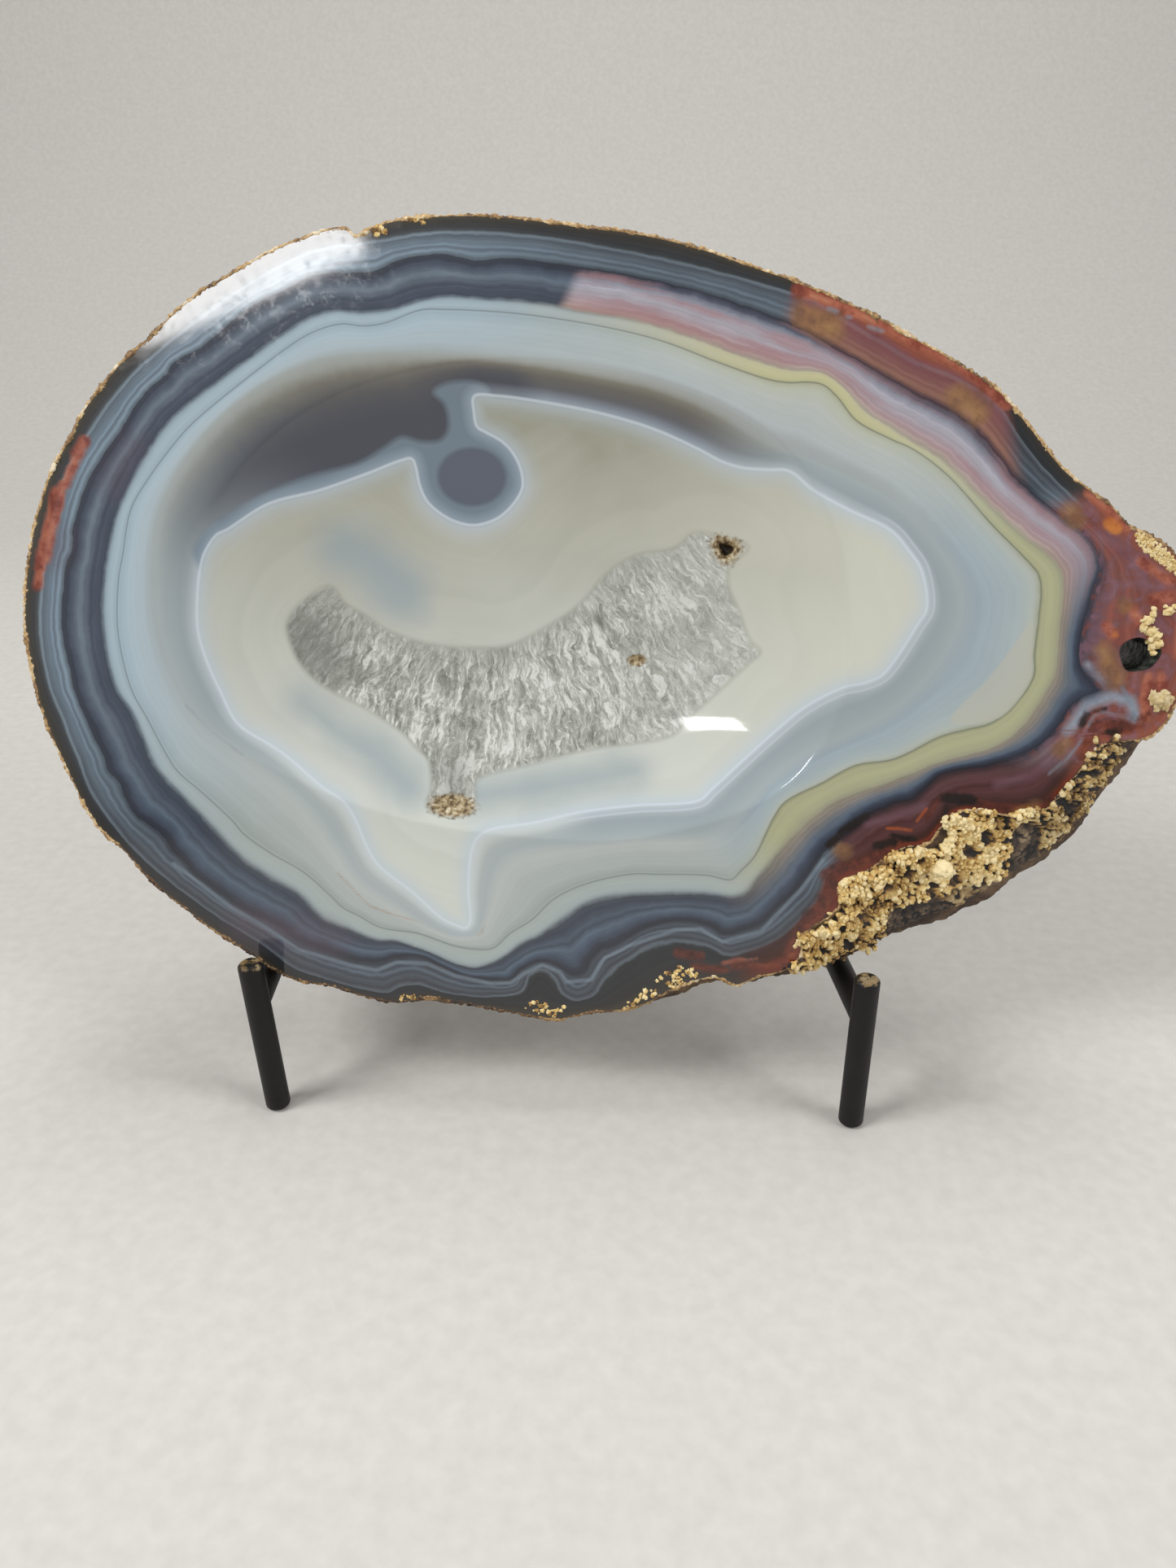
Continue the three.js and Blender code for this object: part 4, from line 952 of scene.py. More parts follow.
# The polish is as smooth as glass, with faint scuffs of about 2 mm, and it ends at the small holes.
scuffs = add_node(
    tree, "TexNoise", {"Vector": place, "Scale": every(2), "Detail": 6, "Roughness": 0.75}
).outputs["Fac"]
scuffed = add_node(tree, "MapRange", {0: scuffs, 1: 0.5, 2: 0.75, 3: 0.05, 4: 0.16}).outputs[0]
gloss = add_node(tree, "Math", {0: in_pit, 1: 0.45, 2: scuffed}, operation="MULTIPLY_ADD")
tree.links.new(gloss.outputs[0], shader.inputs["Roughness"])
shader.inputs["IOR"].default_value = 1.54
for piece in (polished_flat, polished_hollow):
    piece.data.materials.append(agate_material)
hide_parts("agate")

# The natural skin of the nodule: the rough brown side and back that the saw never touched. The CAD solid's
# rings run on here, finer, with pits and grains of their own, always cut inward so that the stone keeps
# clear of the rods.
TURN_STEPS = 620
SIDE_RINGS = 26
BACK_RINGS = 70
EVENED_BY = 60    # degrees over the back, from where its outline is an evened one
turn = np.linspace(0, 2 * math.pi, TURN_STEPS, endpoint=False)


def swell(u, v, n):
    """Low swells and hollows of the skin, within about 1.7 mm."""
    wide = 0.7 * np.sin(0.15 * u + 0.1 * n + 0.6) * np.sin(0.17 * v + 1.1)
    middling = 0.6 * np.sin(0.23 * u - 0.12 * v + 0.25 * n) * np.cos(0.14 * u + 0.25 * v + 0.4)
    small = 0.4 * np.sin(0.37 * u + 0.3 * v - 0.3 * n + 2.1) * np.sin(0.3 * u - 0.41 * v + 0.9)
    return wide + middling + small


def skin_ring(reach, n, roughness, depth_roughness):
    """One ring of the skin, lifted by its swells outward and backward by these shares."""
    u = HEART_U + reach * np.cos(turn)
    v = HEART_V + reach * np.sin(turn)
    lift = swell(u, v, n)
    u = u + roughness * lift * np.cos(turn)
    v = v + roughness * lift * np.sin(turn)
    return np.stack([u, v, n + depth_roughness * lift], 1)


steps = np.radians([-25, -15, -5, 5, 15, 25])
evened_reach = np.mean([girdle_reach(turn + step) for step in steps], axis=0)
rings = []
for share in np.linspace(0, 1, SIDE_RINGS) ** 1.2:
    bulge = math.sin(share * math.pi / 2) * (girdle_reach(turn) - edge_reach(turn))
    rings.append(skin_ring(edge_reach(turn) + bulge, -GIRDLE_DEPTH * share, share, 0))
for angle in np.radians(np.linspace(5, 89.5, BACK_RINGS)):
    narrowing = math.cos(angle) ** 0.55
    n = -GIRDLE_DEPTH - (THICKNESS - GIRDLE_DEPTH) * math.sin(angle) ** 0.9
    evened = min(angle / math.radians(EVENED_BY), 1)
    reach = (1 - evened) * girdle_reach(turn) + evened * evened_reach
    rings.append(skin_ring(narrowing * reach, n, 1 - 0.7 * evened, 0.8 * math.sin(2 * angle)))
skin = np.vstack(rings)

# Fractal noise cut inward along the surface's own direction, deepest in scattered pits. How deep the even
# cut, the broad dents, the grain and the pits go is in millimetres.
EVEN_CUT = 0.55
BROAD_CUT = 0.45
GRAIN_CUT = 0.42
PIT_CUT = 0.7
DEEPEST_CUT = 1.6
grid = skin.reshape(len(rings), TURN_STEPS, 3)
round_way = np.roll(grid, -1, 1) - np.roll(grid, 1, 1)
inward_way = np.gradient(grid, axis=0)
outward = np.cross(round_way, inward_way)
outward /= np.linalg.norm(outward, axis=2)[..., None]
outward = outward.reshape(-1, 3)
outward *= np.where((outward * (skin - (HEART_U, HEART_V, -8))).sum(1) < 0, -1, 1)[:, None]
cut = np.empty(len(skin))
for k, spot in enumerate(skin):
    place = Vector(spot)
    broad = noise.fractal(place * 0.16, 0.7, 2, 3)
    grain = noise.fractal(place * 0.55, 0.6, 2, 3)
    cell = noise.voronoi(place * 0.32)[0]
    cut[k] = EVEN_CUT + BROAD_CUT * broad + GRAIN_CUT * grain + PIT_CUT * max(0, 0.45 - cell[0])
ring_of = np.repeat(np.arange(len(rings)), TURN_STEPS)
skin -= outward * (np.clip(cut, 0, DEEPEST_CUT) * soft(ring_of, 0, 7))[:, None]
skin_faces = ring_faces(len(rings), TURN_STEPS)

# Where the natural hole comes out behind: for each way out of it, the first ring that lies within its wall.
HOLE_STEPS = 90
hole_turn = np.linspace(0, 2 * math.pi, HOLE_STEPS, endpoint=False)
mouth_u = HOLE_U + hole_reach(hole_turn) * np.cos(hole_turn)
mouth_v = HOLE_V + hole_reach(hole_turn) * np.sin(hole_turn)
bearing = np.arctan2(mouth_v - HEART_V, mouth_u - HEART_U) % (2 * math.pi)
column = np.round(bearing / (2 * math.pi) * TURN_STEPS).astype(int) % TURN_STEPS
column_reach = np.hypot(grid[:, column, 0] - HEART_U, grid[:, column, 1] - HEART_V)
past_girdle = grid[:, column, 2] < -GIRDLE_DEPTH
within = past_girdle & (column_reach < np.hypot(mouth_u - HEART_U, mouth_v - HEART_V))
mouth_n = grid[within.argmax(0), column, 2]
mouth_n = np.mean([np.roll(mouth_n, k) for k in range(-4, 5)], axis=0) + 0.3
away = off_hole(skin[:, 0], skin[:, 1])
behind_hole = (away < 1) & (skin[:, 2] < -GIRDLE_DEPTH)
for k, centre in enumerate((HOLE_U, HOLE_V)):
    skin[behind_hole, k] = centre + (skin[behind_hole, k] - centre) / away[behind_hole]
skin_faces = skin_faces[~behind_hole[skin_faces].all(1)]
middle = skin[-TURN_STEPS:].mean(0)
i = np.arange(TURN_STEPS) + len(skin) - TURN_STEPS
fan = np.stack([np.full(TURN_STEPS, len(skin)), np.roll(i, -1), i], 1)
skin_points = np.vstack([skin, middle])
skin_piece = add_piece("natural_skin", off_face(*skin_points.T), skin_faces[:, ::-1], fan)

# Weathered agate that was never cut: earthy and dull, dark brown in patches of about 14 mm and tan on its
# raised grains. They are 1.1 mm here, coarser than the real ones so that they show.
skin_material, tree, shader = new_material("weathered_brown_agate_skin")
place = add_node(tree, "TexCoord").outputs["Object"]
patches = add_node(tree, "TexNoise", {"Vector": place, "Scale": every(14.3), "Detail": 8, "Roughness": 0.65})
fuzz = add_node(tree, "TexNoise", {"Vector": place, "Scale": every(1.11), "Detail": 5, "Roughness": 0.7})
tone = add_node(
    tree, "Math", {0: fuzz.outputs["Fac"], 1: 0.45, 2: patches.outputs["Fac"]}, operation="MULTIPLY_ADD"
)
skin_colour = add_node(
    tree, "ValToRGB", {0: tone.outputs[0]},
    [
        (0.48, "#1c1510"), (0.6, "#33261c"), (0.7, "#4d3a2b"), (0.8, "#6b543c"), (0.9, "#8c7352"),
        (1, "#ab9468"),
    ],
)
tree.links.new(skin_colour.outputs[0], shader.inputs["Base Color"])
bump = add_node(tree, "Bump", {"Height": tone.outputs[0], "Strength": 0.9, "Distance": 1.2 * MM})
tree.links.new(bump.outputs[0], shader.inputs["Normal"])
rough = add_node(tree, "MapRange", {0: fuzz.outputs["Fac"], 3: 0.7, 4: 0.98})
tree.links.new(rough.outputs[0], shader.inputs["Roughness"])
shader.inputs["IOR"].default_value = 1.54
skin_piece.data.materials.append(skin_material)

# The rind: a thin crumbly line of tan quartz grains all round the edge of the polished face, where the saw
# broke through the skin. It is made as a bead whose radius goes up and down about 0.4 mm, and at the lower
# left it is dark, with a few golden grains.
RIND_STEP = 0.3
RIND_RADIUS = 0.4
RIND_THINNEST = 0.12
RIND_THICKEST = 0.9
BEAD_SIDES = 12
line = smooth_loop(FACE_EDGE, RIND_STEP)
ahead = np.roll(line, -1, 0) - np.roll(line, 1, 0)
aside = np.stack([ahead[:, 1], -ahead[:, 0]], 1) / np.linalg.norm(ahead, axis=1)[:, None]
if ((line - (HEART_U, HEART_V)) * aside).sum() < 0:
    aside = -aside
crumb = np.array([noise.fractal(Vector((a * 0.9, b * 0.9, 3)), 0.6, 2, 3) for a, b in line])
broad = np.array([noise.fractal(Vector((a * 0.25, b * 0.25, 9)), 0.6, 2, 2) for a, b in line])
around = np.linspace(0, 2 * math.pi, BEAD_SIDES, endpoint=False)
bead = np.empty((len(line), BEAD_SIDES, 3))
for k, angle in enumerate(around):
    high = 5 * math.cos(angle)
    lump = np.array([noise.fractal(Vector((a * 1.3, b * 1.3, high)), 0.5, 2, 3) for a, b in line])
    thick = np.clip(RIND_RADIUS + 0.16 * broad + 0.3 * lump, RIND_THINNEST, RIND_THICKEST)
    bead[:, k, :2] = line + aside * (0.12 + 0.16 * crumb + thick * math.cos(angle))[:, None]
    bead[:, k, 2] = -0.42 + 0.12 * broad + thick * 1.1 * math.sin(angle)
rind_faces = ring_faces(len(line), BEAD_SIDES)
i = np.arange(BEAD_SIDES)
j = (i + 1) % BEAD_SIDES
last = (len(line) - 1) * BEAD_SIDES
closing = np.stack([last + i, last + j, j, i], 1)
rind = add_piece("golden_rind", off_face(*bead.reshape(-1, 3).T), np.vstack([rind_faces, closing])[:, ::-1])
around = np.degrees(np.arctan2(line[:, 1] - HEART_V, line[:, 0] - HEART_U)) % 360
dark = soft(around, 192, 212) * (1 - soft(around, 268, 290))
add_attribute(rind, "dark", np.repeat(dark, BEAD_SIDES))

# Crumbly quartz, broken and never polished: tan sugary grains, a little glossy on their tops, with brown
# stains about 6 mm apart. The grains are 0.8 mm here, coarser than the real ones so that they show.
rind_material, tree, shader = new_material("crumbly_quartz_rind")
place = add_node(tree, "TexCoord").outputs["Object"]
grains = add_node(
    tree, "TexNoise", {"Vector": place, "Scale": every(0.77), "Detail": 4, "Roughness": 0.65}
).outputs["Fac"]
stain = add_node(
    tree, "TexNoise", {"Vector": place, "Scale": every(5.88), "Detail": 5, "Roughness": 0.6}
).outputs["Fac"]
dark = add_node(tree, "Attribute", attribute_name="dark").outputs["Fac"]
tone = add_node(tree, "Math", {0: grains, 1: 0.7, 2: stain}, operation="MULTIPLY_ADD").outputs[0]
tone = add_node(tree, "Math", {0: dark, 1: -0.16, 2: tone}, operation="MULTIPLY_ADD").outputs[0]
tan = add_node(
    tree, "ValToRGB", {0: tone},
    [
        (0.55, "#2c2019"), (0.68, "#5e452c"), (0.78, "#94744a"), (0.88, "#bd9c69"), (0.97, "#d8c096"),
        (1, "#e6d8ba"),
    ],
)
tree.links.new(tan.outputs[0], shader.inputs["Base Color"])
bump = add_node(tree, "Bump", {"Height": grains, "Strength": 0.8, "Distance": 0.4 * MM})
tree.links.new(bump.outputs[0], shader.inputs["Normal"])
rough = add_node(tree, "MapRange", {0: grains, 3: 0.45, 4: 0.85})
tree.links.new(rough.outputs[0], shader.inputs["Roughness"])
shader.inputs["IOR"].default_value = 1.54
rind.data.materials.append(rind_material)

# The golden crust: druse that grew where a cavity opened along the lower right edge, as knobs 3 mm across
# set with granules of half a millimetre. It starts on the polished face and runs down the stone's side.
CRUST_AREA = [
    (41.8, 9.1), (45.8, 12.9), (45.2, 16.5), (49.7, 19), (52.6, 21.1), (51.6, 25.9), (52.6, 27.5),
    (57.4, 29.2), (58.8, 30.8), (61.3, 33.2), (66.8, 34.4), (69.1, 33.7), (71.1, 36.5), (70.1, 39.5),
    (72.6, 41.1), (75.1, 41.6), (78.1, 41.6), (81.9, 40.8), (85.4, 42.1), (88.6, 41.8), (90.9, 45.3),
    (94, 48.4), (95.4, 52.4), (96.4, 55.4), (98.8, 56.2), (101, 55), (100.6, 50), (98, 45), (95.1, 40),
    (91.9, 35.4), (88.6, 33.4), (88.4, 37), (86.6, 39.4), (84.2, 38.6), (81.6, 36.6), (82.2, 33.8),
    (81.4, 29.2), (78.4, 28), (74, 27.1), (71.2, 25.5), (68.4, 24.5), (65.3, 23.8), (61.3, 22.2),
    (60.6, 20.2), (60.4, 15.8), (57.6, 13.2), (52.4, 11), (46.4, 8.8),
]
EARTHY_AREA = [
    (59.6, 15.8), (61.6, 16.6), (69.6, 20), (77.9, 24.2), (85.3, 29.8), (89.8, 33.4), (90, 36.5), (87, 40.6),
    (80.5, 38.5), (79.8, 31), (77, 29.8), (73, 28.8), (70.8, 27), (66, 26), (59, 24), (58.5, 18),
]
CAVITIES = [
    (75.4, 33.8, 1.4), (77.7, 36.6, 1.2), (73.2, 27.9, 1.3), (64.6, 29.4, 1), (57.4, 20, 1.1),
    (68.6, 26.2, 1.1), (54.4, 15.4, 0.8), (61, 26.6, 0.8), (66.4, 31.6, 0.7), (92.4, 42.4, 0.9),
    (96.4, 48.4, 0.9), (98.4, 55, 1.5), (96.4, 53, 0.9), (94.2, 38.6, 0.8), (49.6, 14.2, 0.6),
]
PEACH_KNOB = (71.4, 29.9)
PALE_KNOB = (78, 33.5)
PALE_SLOPE = (75, 25)
EDGE_FLAKES = [
    (12, 1.2), (15, 2.6), (18, 6), (21, 8.6), (25, 9.4), (27, 8), (24, 6), (20, 4), (16, 1.8), (14, 0),
]
TIP_FLAKES = [
    (100, 91), (103.5, 89.5), (106.8, 86.8), (108, 84), (106.4, 84.8), (104.6, 86.1), (102.4, 87.4),
    (100.6, 89.2),
]
FLAKE_PATCHES = [(-28.4, 1.6, 1.6), (-4, 0.6, 2.2), (-0.6, -0.6, 1.8), (-25, 141, 1.6), (-31, 139.6, 1.2)]
# Knobs of three sizes: how many there are, and how far each reaches in millimetres.
LARGE_KNOBS = 210
LARGE_REACH = 1.8
MEDIUM_KNOBS = 1500
MEDIUM_REACH = 0.72
SMALL_KNOBS = 5200
SMALL_REACH = 0.42
chance = np.random.default_rng(11)


def on_stone(u, v):
    """Where lines from the camera through places on the face's plane meet the stone, and which way is out."""
    spots = np.stack([u, v, np.zeros(len(u))], 1)
    out = np.empty((len(u), 3))
    searching = np.ones(len(u), bool)
    for n in np.arange(0, -GIRDLE_DEPTH, -0.06):
        past = (CAMERA_N - n) / CAMERA_N
        at_u = CAMERA_U + (u - CAMERA_U) * past
        at_v = CAMERA_V + (v - CAMERA_V) * past
        angle = np.arctan2(at_v - HEART_V, at_u - HEART_U)
        bulge = math.sin(-n / GIRDLE_DEPTH * math.pi / 2) * (girdle_reach(angle) - edge_reach(angle))
        met = np.hypot(at_u - HEART_U, at_v - HEART_V) <= edge_reach(angle) + bulge
        new = searching & (met | (n < 0.1 - GIRDLE_DEPTH))
        spots[new] = np.stack([at_u, at_v, np.full(len(u), n)], 1)[new]
        sideways = min(1, -n / 3)
        forward = np.full(len(u), 1.1 - sideways)
        out[new] = np.stack([np.cos(angle) * sideways, np.sin(angle) * sideways, forward], 1)[new]
        searching &= ~new
    return spots, out / np.linalg.norm(out, axis=1)[:, None]


def knobs(spots, centres, reach):
    """Rounded knobs about the centres, 1 on top and 0 in the creases, and which knob each place is on."""
    height = np.empty(len(spots))
    nearest = np.empty(len(spots), int)
    batch = 2000
    for first in range(0, len(spots), batch):
        part = spots[first:first + batch]
        apart = ((part[:, None] - centres[None]) ** 2).sum(2)
        nearest[first:first + batch] = apart.argmin(1)
        height[first:first + batch] = 1 - apart.min(1) / reach**2
    return np.clip(height, 0, 1), nearest


CRUST_STEP = 0.2
area = np.array(CRUST_AREA)
wide, high = ((area.max(0) - area.min(0) + 2) / CRUST_STEP).astype(int)
across, up = np.meshgrid(np.arange(wide), np.arange(high))
u = area.min(0)[0] - 1 + CRUST_STEP * across.ravel()
v = area.min(0)[1] - 1 + CRUST_STEP * up.ravel()
golden = depth_inside(CRUST_AREA, u, v)
inside = np.maximum(golden, depth_inside(EARTHY_AREA, u, v))
kept = inside > -1
u, v, golden, inside = u[kept], v[kept], golden[kept], inside[kept]
ragged = 0.5 * np.array([noise.fractal(Vector((a, b, 2)), 0.6, 2, 3) for a, b in np.stack([u, v], 1) * 0.7])
inside += ragged
earthy = soft(-golden - ragged, -0.2, 0.9)
spots, outward = on_stone(u, v)
main = np.flatnonzero(inside > 0)
large, knob = knobs(spots, spots[chance.choice(main, LARGE_KNOBS)], LARGE_REACH)
medium, _ = knobs(spots, spots[chance.choice(main, MEDIUM_KNOBS)], MEDIUM_REACH)
small, _ = knobs(spots, spots[chance.choice(main, SMALL_KNOBS)], SMALL_REACH)
patchy = np.array([noise.fractal(Vector(spot) * 0.2, 0.6, 2, 3) for spot in spots])
open_up = soft(np.min([np.hypot(u - a, v - b) / r for a, b, r in CAVITIES], axis=0), 0.6, 1.3)
gap = soft(0.42 - medium, 0, 0.3)
rise = 0.95 * large + 0.62 * np.sqrt(medium) + 0.24 * np.sqrt(small) - 0.2 * gap
rise *= open_up * (1 - 0.45 * earthy)
fade = soft(inside, 0, 1.1)
spots += outward * (rise * fade - 0.5 * (1 - fade) - 0.15)[:, None]
knob_tone = chance.normal(0, 0.07, LARGE_KNOBS)
# Painted shade and light: the tone falls in the creases between knobs and down the cavities, and rises on the
# knobs' tops.
tone = 0.26 * np.sqrt(medium) + 0.2 * large + 0.18 * np.sqrt(small) - 0.42 * gap
tone += 0.02 + knob_tone[knob] + 0.2 * patchy - 0.4 * (1 - open_up)
pale = soft(1.2 - np.hypot((u - PALE_SLOPE[0]) / 5, (v - PALE_SLOPE[1]) / 2.6), 0, 0.6)
tone += 0.16 * pale
tone += 0.2 * soft(2.2 - np.hypot(u - PALE_KNOB[0], v - PALE_KNOB[1]), 0, 1)
tone += 0.4 * soft(1.7 - np.hypot(u - PEACH_KNOB[0], v - PEACH_KNOB[1]), 0, 0.8)
tone -= 0.14 * earthy
# The earthy slope is brown, and the strip of crust at the right is a little browned too.
aged = np.maximum(earthy - 0.35 * pale, 0.32 * soft(u, 83, 89))
number = np.full(wide * high, -1)
number[np.flatnonzero(kept)] = np.arange(len(u))
here = (np.arange(high - 1)[:, None] * wide + np.arange(wide - 1)[None]).ravel()
sheet_faces = number[np.stack([here, here + 1, here + wide + 1, here + wide], 1)]
sheet_faces = sheet_faces[(sheet_faces >= 0).all(1)]
sheet_faces = sheet_faces[(inside[sheet_faces] > -0.15).all(1)]
used, compact = np.unique(sheet_faces, return_inverse=True)
crust = add_piece("crust", off_face(*spots[used].T), compact.reshape(-1, 4))
add_attribute(crust, "tone", tone[used])
add_attribute(crust, "aged", aged[used])


def add_granules(name, lumps):
    """One piece of many small knobbly balls, each with a place and radius in mm, a tone and an age."""
    made = bmesh.new()
    tone = made.verts.layers.float.new("tone")
    aged = made.verts.layers.float.new("aged")
    for number, (centre, radius, shade, age) in enumerate(lumps):
        ball = bmesh.ops.create_icosphere(made, subdivisions=3 if radius > 0.6 else 2, radius=1)
        stretch = Vector(0.75 + 0.5 * chance.random(3))
        for vert in ball["verts"]:
            knob = noise.fractal(vert.co * 1.8 + Vector((number, 0, 0)), 0.5, 2, 3)
            vert.co = Vector(centre) + vert.co * stretch * (radius * (1 + 0.45 * knob))
            vert[tone] = shade + 0.15 * knob
            vert[aged] = age
    mesh = bpy.data.meshes.new(name)
    made.to_mesh(mesh)
    made.free()
    points = np.empty(len(mesh.vertices) * 3, np.float32)
    mesh.vertices.foreach_get("co", points)
    mesh.vertices.foreach_set("co", off_face(*points.reshape(-1, 3).T).astype(np.float32).ravel())
    mesh.polygons.foreach_set("use_smooth", np.ones(len(mesh.polygons), bool))
    mesh.update()
    piece = bpy.data.objects.new(name, mesh)
    bpy.context.scene.collection.objects.link(piece)
    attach(piece, "root")
    return piece


# Loose granules stand on the tops of the knobs, golden flakes along the lower edge of the face, and tan
# nodules on the face round the hole.
NODULES = [
    (103.6, 75.9, 1.15), (104.4, 77, 0.8), (103.1, 74.6, 0.8), (104.5, 78, 0.55), (107, 77.5, 0.95),
    (107.9, 78.3, 0.7), (106.4, 78.4, 0.5), (104.4, 73.9, 1), (105.4, 73.1, 1), (105.8, 71.9, 0.95),
    (104.9, 71.3, 0.75), (105.3, 70.2, 0.65), (104.6, 72.5, 0.8), (107.1, 61.8, 1.7), (108.3, 61, 1.3),
    (106.1, 62.3, 1.1), (108.9, 62, 1.1), (106.9, 60.5, 1.1), (107.9, 62.9, 1), (51, 20.6, 0.5),
    (45.6, 14.8, 0.8), (46.6, 14.1, 0.6), (44.9, 13.9, 0.5),
]
LOOSE_ONES = 1000
PEACH_RADIUS = 1.6
tops = np.flatnonzero((inside > 0.4) & (medium > 0.3) & (open_up > 0.9) & (earthy < 0.4))
granules = []
for k in chance.choice(tops, LOOSE_ONES, replace=False):
    size = 0.24 + 0.32 * chance.random()
    granules.append((spots[k] + outward[k] * 0.25 * size, size, tone[k] + 0.14 * chance.random(), aged[k]))
granules.append(((*PEACH_KNOB, 0.6), PEACH_RADIUS, 0.8, 0))
for nodule_u, nodule_v, size in NODULES:
    below_hole = 55 < nodule_v < HOLE_V
    age = 0.4 if below_hole and size > 0.9 else 0.1
    granules.append(((nodule_u, nodule_v, -0.4 * size), size, 0.62, age))
tip_area = np.array(TIP_FLAKES)
tries = chance.uniform(tip_area.min(0), tip_area.max(0), (800, 2))
for tip_u, tip_v in tries[depth_inside(TIP_FLAKES, tries[:, 0], tries[:, 1]) > 0]:
    size = 0.2 + 0.3 * chance.random()
    granules.append(((tip_u, tip_v, -0.6 * size), size, 0.45 + 0.25 * chance.random(), 0.15))
flake_area = np.array(EDGE_FLAKES)
tries = chance.uniform(flake_area.min(0), flake_area.max(0), (400, 2))
tries = tries[depth_inside(EDGE_FLAKES, tries[:, 0], tries[:, 1]) > 0][:80]
for patch_u, patch_v, reach in FLAKE_PATCHES:
    tries = np.vstack([tries, (patch_u, patch_v) + reach * chance.normal(size=(14, 2)) * (0.6, 0.3)])
for spot, out in zip(*on_stone(tries[:, 0], tries[:, 1])):
    size = 0.2 + 0.4 * chance.random()
    shade = 0.3 + 0.4 * chance.random()
    if spot[2] > -5:    # not on the back, where a place just off the outline would land
        granules.append((spot - out * 0.45 * size, size, shade, 0))
loose = add_granules("druse_granules", granules)

# Iron-stained druse: rough, crumbly quartz crystals grown in a cavity, gold and brown, with small glints.
# Their tone is painted near black in the creases between knobs and in the cavities as painted shade, and pale
# on the knobs' tops as painted light. The grain is 0.7 mm here, coarser than the real one so that it shows.
crust_material, tree, shader = new_material("golden_drusy_crust")
place = add_node(tree, "TexCoord").outputs["Object"]
fine = add_node(
    tree, "TexNoise", {"Vector": place, "Scale": every(0.667), "Detail": 4, "Roughness": 0.65}
).outputs["Fac"]
large = add_node(tree, "TexNoise", {"Vector": place, "Scale": every(6.67), "Detail": 4}).outputs["Fac"]
lump_tone = add_node(tree, "Attribute", attribute_name="tone").outputs["Fac"]
tone = add_node(tree, "Math", {0: fine, 1: 0.3, 2: lump_tone}, operation="MULTIPLY_ADD").outputs[0]
tone = add_node(tree, "Math", {0: large, 1: 0.3, 2: tone}, operation="MULTIPLY_ADD").outputs[0]
gold = add_node(
    tree, "ValToRGB", {0: tone},
    [
        (0.3, "#130c07"), (0.45, "#33210f"), (0.56, "#5f4322"), (0.65, "#a07b42"), (0.75, "#cfa962"),
        (0.86, "#e6c984"), (1, "#f5e1ae"),
    ],
)
brown = add_node(
    tree, "ValToRGB", {0: tone},
    [
        (0.3, "#100c09"), (0.45, "#221913"), (0.58, "#352920"), (0.72, "#4b3b2d"), (0.88, "#73614a"),
        (1, "#9a8768"),
    ],
)
how_old = add_node(tree, "Attribute", attribute_name="aged").outputs["Fac"]
old_gold = add_node(
    tree, "Mix", {0: how_old, 6: gold.outputs[0], 7: brown.outputs[0]}, data_type="RGBA"
)
tree.links.new(old_gold.outputs[2], shader.inputs["Base Color"])
bump = add_node(tree, "Bump", {"Height": fine, "Strength": 0.8, "Distance": 0.4 * MM})
tree.links.new(bump.outputs[0], shader.inputs["Normal"])
rough = add_node(tree, "MapRange", {0: fine, 3: 0.4, 4: 0.8})
tree.links.new(rough.outputs[0], shader.inputs["Roughness"])
shader.inputs["IOR"].default_value = 1.54
for piece in (crust, loose):
    piece.data.materials.append(crust_material)

# The wall of the small natural hole through the tip, from the polished face to the skin behind, lined with
# druse painted dark for the shade in the hole. It stands 0.05 mm in front of the face, so that no gap shows
# round it.
WALL_RINGS = 40
WALL_FRONT = 0.05
wall = []
for share in np.linspace(0, 1, WALL_RINGS):
    round_it = [Vector((2 * math.cos(a), 2 * math.sin(a), -12 * share)) for a in hole_turn]
    spin = np.array([noise.fractal(spot, 0.5, 2, 3) for spot in round_it])
    grow = 1.02 + 0.04 * spin * min(1, 10 * share, 10 * (1 - share))
    u = HOLE_U + (mouth_u - HOLE_U) * grow
    v = HOLE_V + (mouth_v - HOLE_V) * grow
    wall.append(np.stack([u, v, WALL_FRONT + share * (mouth_n - WALL_FRONT)], 1))
lining = add_piece("hole_lining", off_face(*np.vstack(wall).T), ring_faces(len(wall), HOLE_STEPS))

# Tiny quartz crystals that grew in a gap, 1.4 mm apart: grey-green, painted dark for the shade deep in the
# hole, with small glints.
lining_material, tree, shader = new_material("druse_painted_with_shade")
place = add_node(tree, "TexCoord").outputs["Object"]
fine = add_node(tree, "TexNoise", {"Vector": place, "Scale": every(1.43), "Detail": 5})
# Painted shade: the lining's grey-green is kept near black for the shade inside the hole.
dark = add_node(
    tree, "ValToRGB", {0: fine.outputs["Fac"]}, [(0.35, "#1d1f1c"), (0.55, "#3e433c"), (0.75, "#7b7a68")]
)
tree.links.new(dark.outputs[0], shader.inputs["Base Color"])
bump = add_node(tree, "Bump", {"Height": fine.outputs["Fac"], "Strength": 0.8, "Distance": 0.5 * MM})
tree.links.new(bump.outputs[0], shader.inputs["Normal"])
rough = add_node(tree, "MapRange", {0: fine.outputs["Fac"], 3: 0.3, 4: 0.7})
tree.links.new(rough.outputs[0], shader.inputs["Roughness"])
shader.inputs["IOR"].default_value = 1.54
lining.data.materials.append(lining_material)

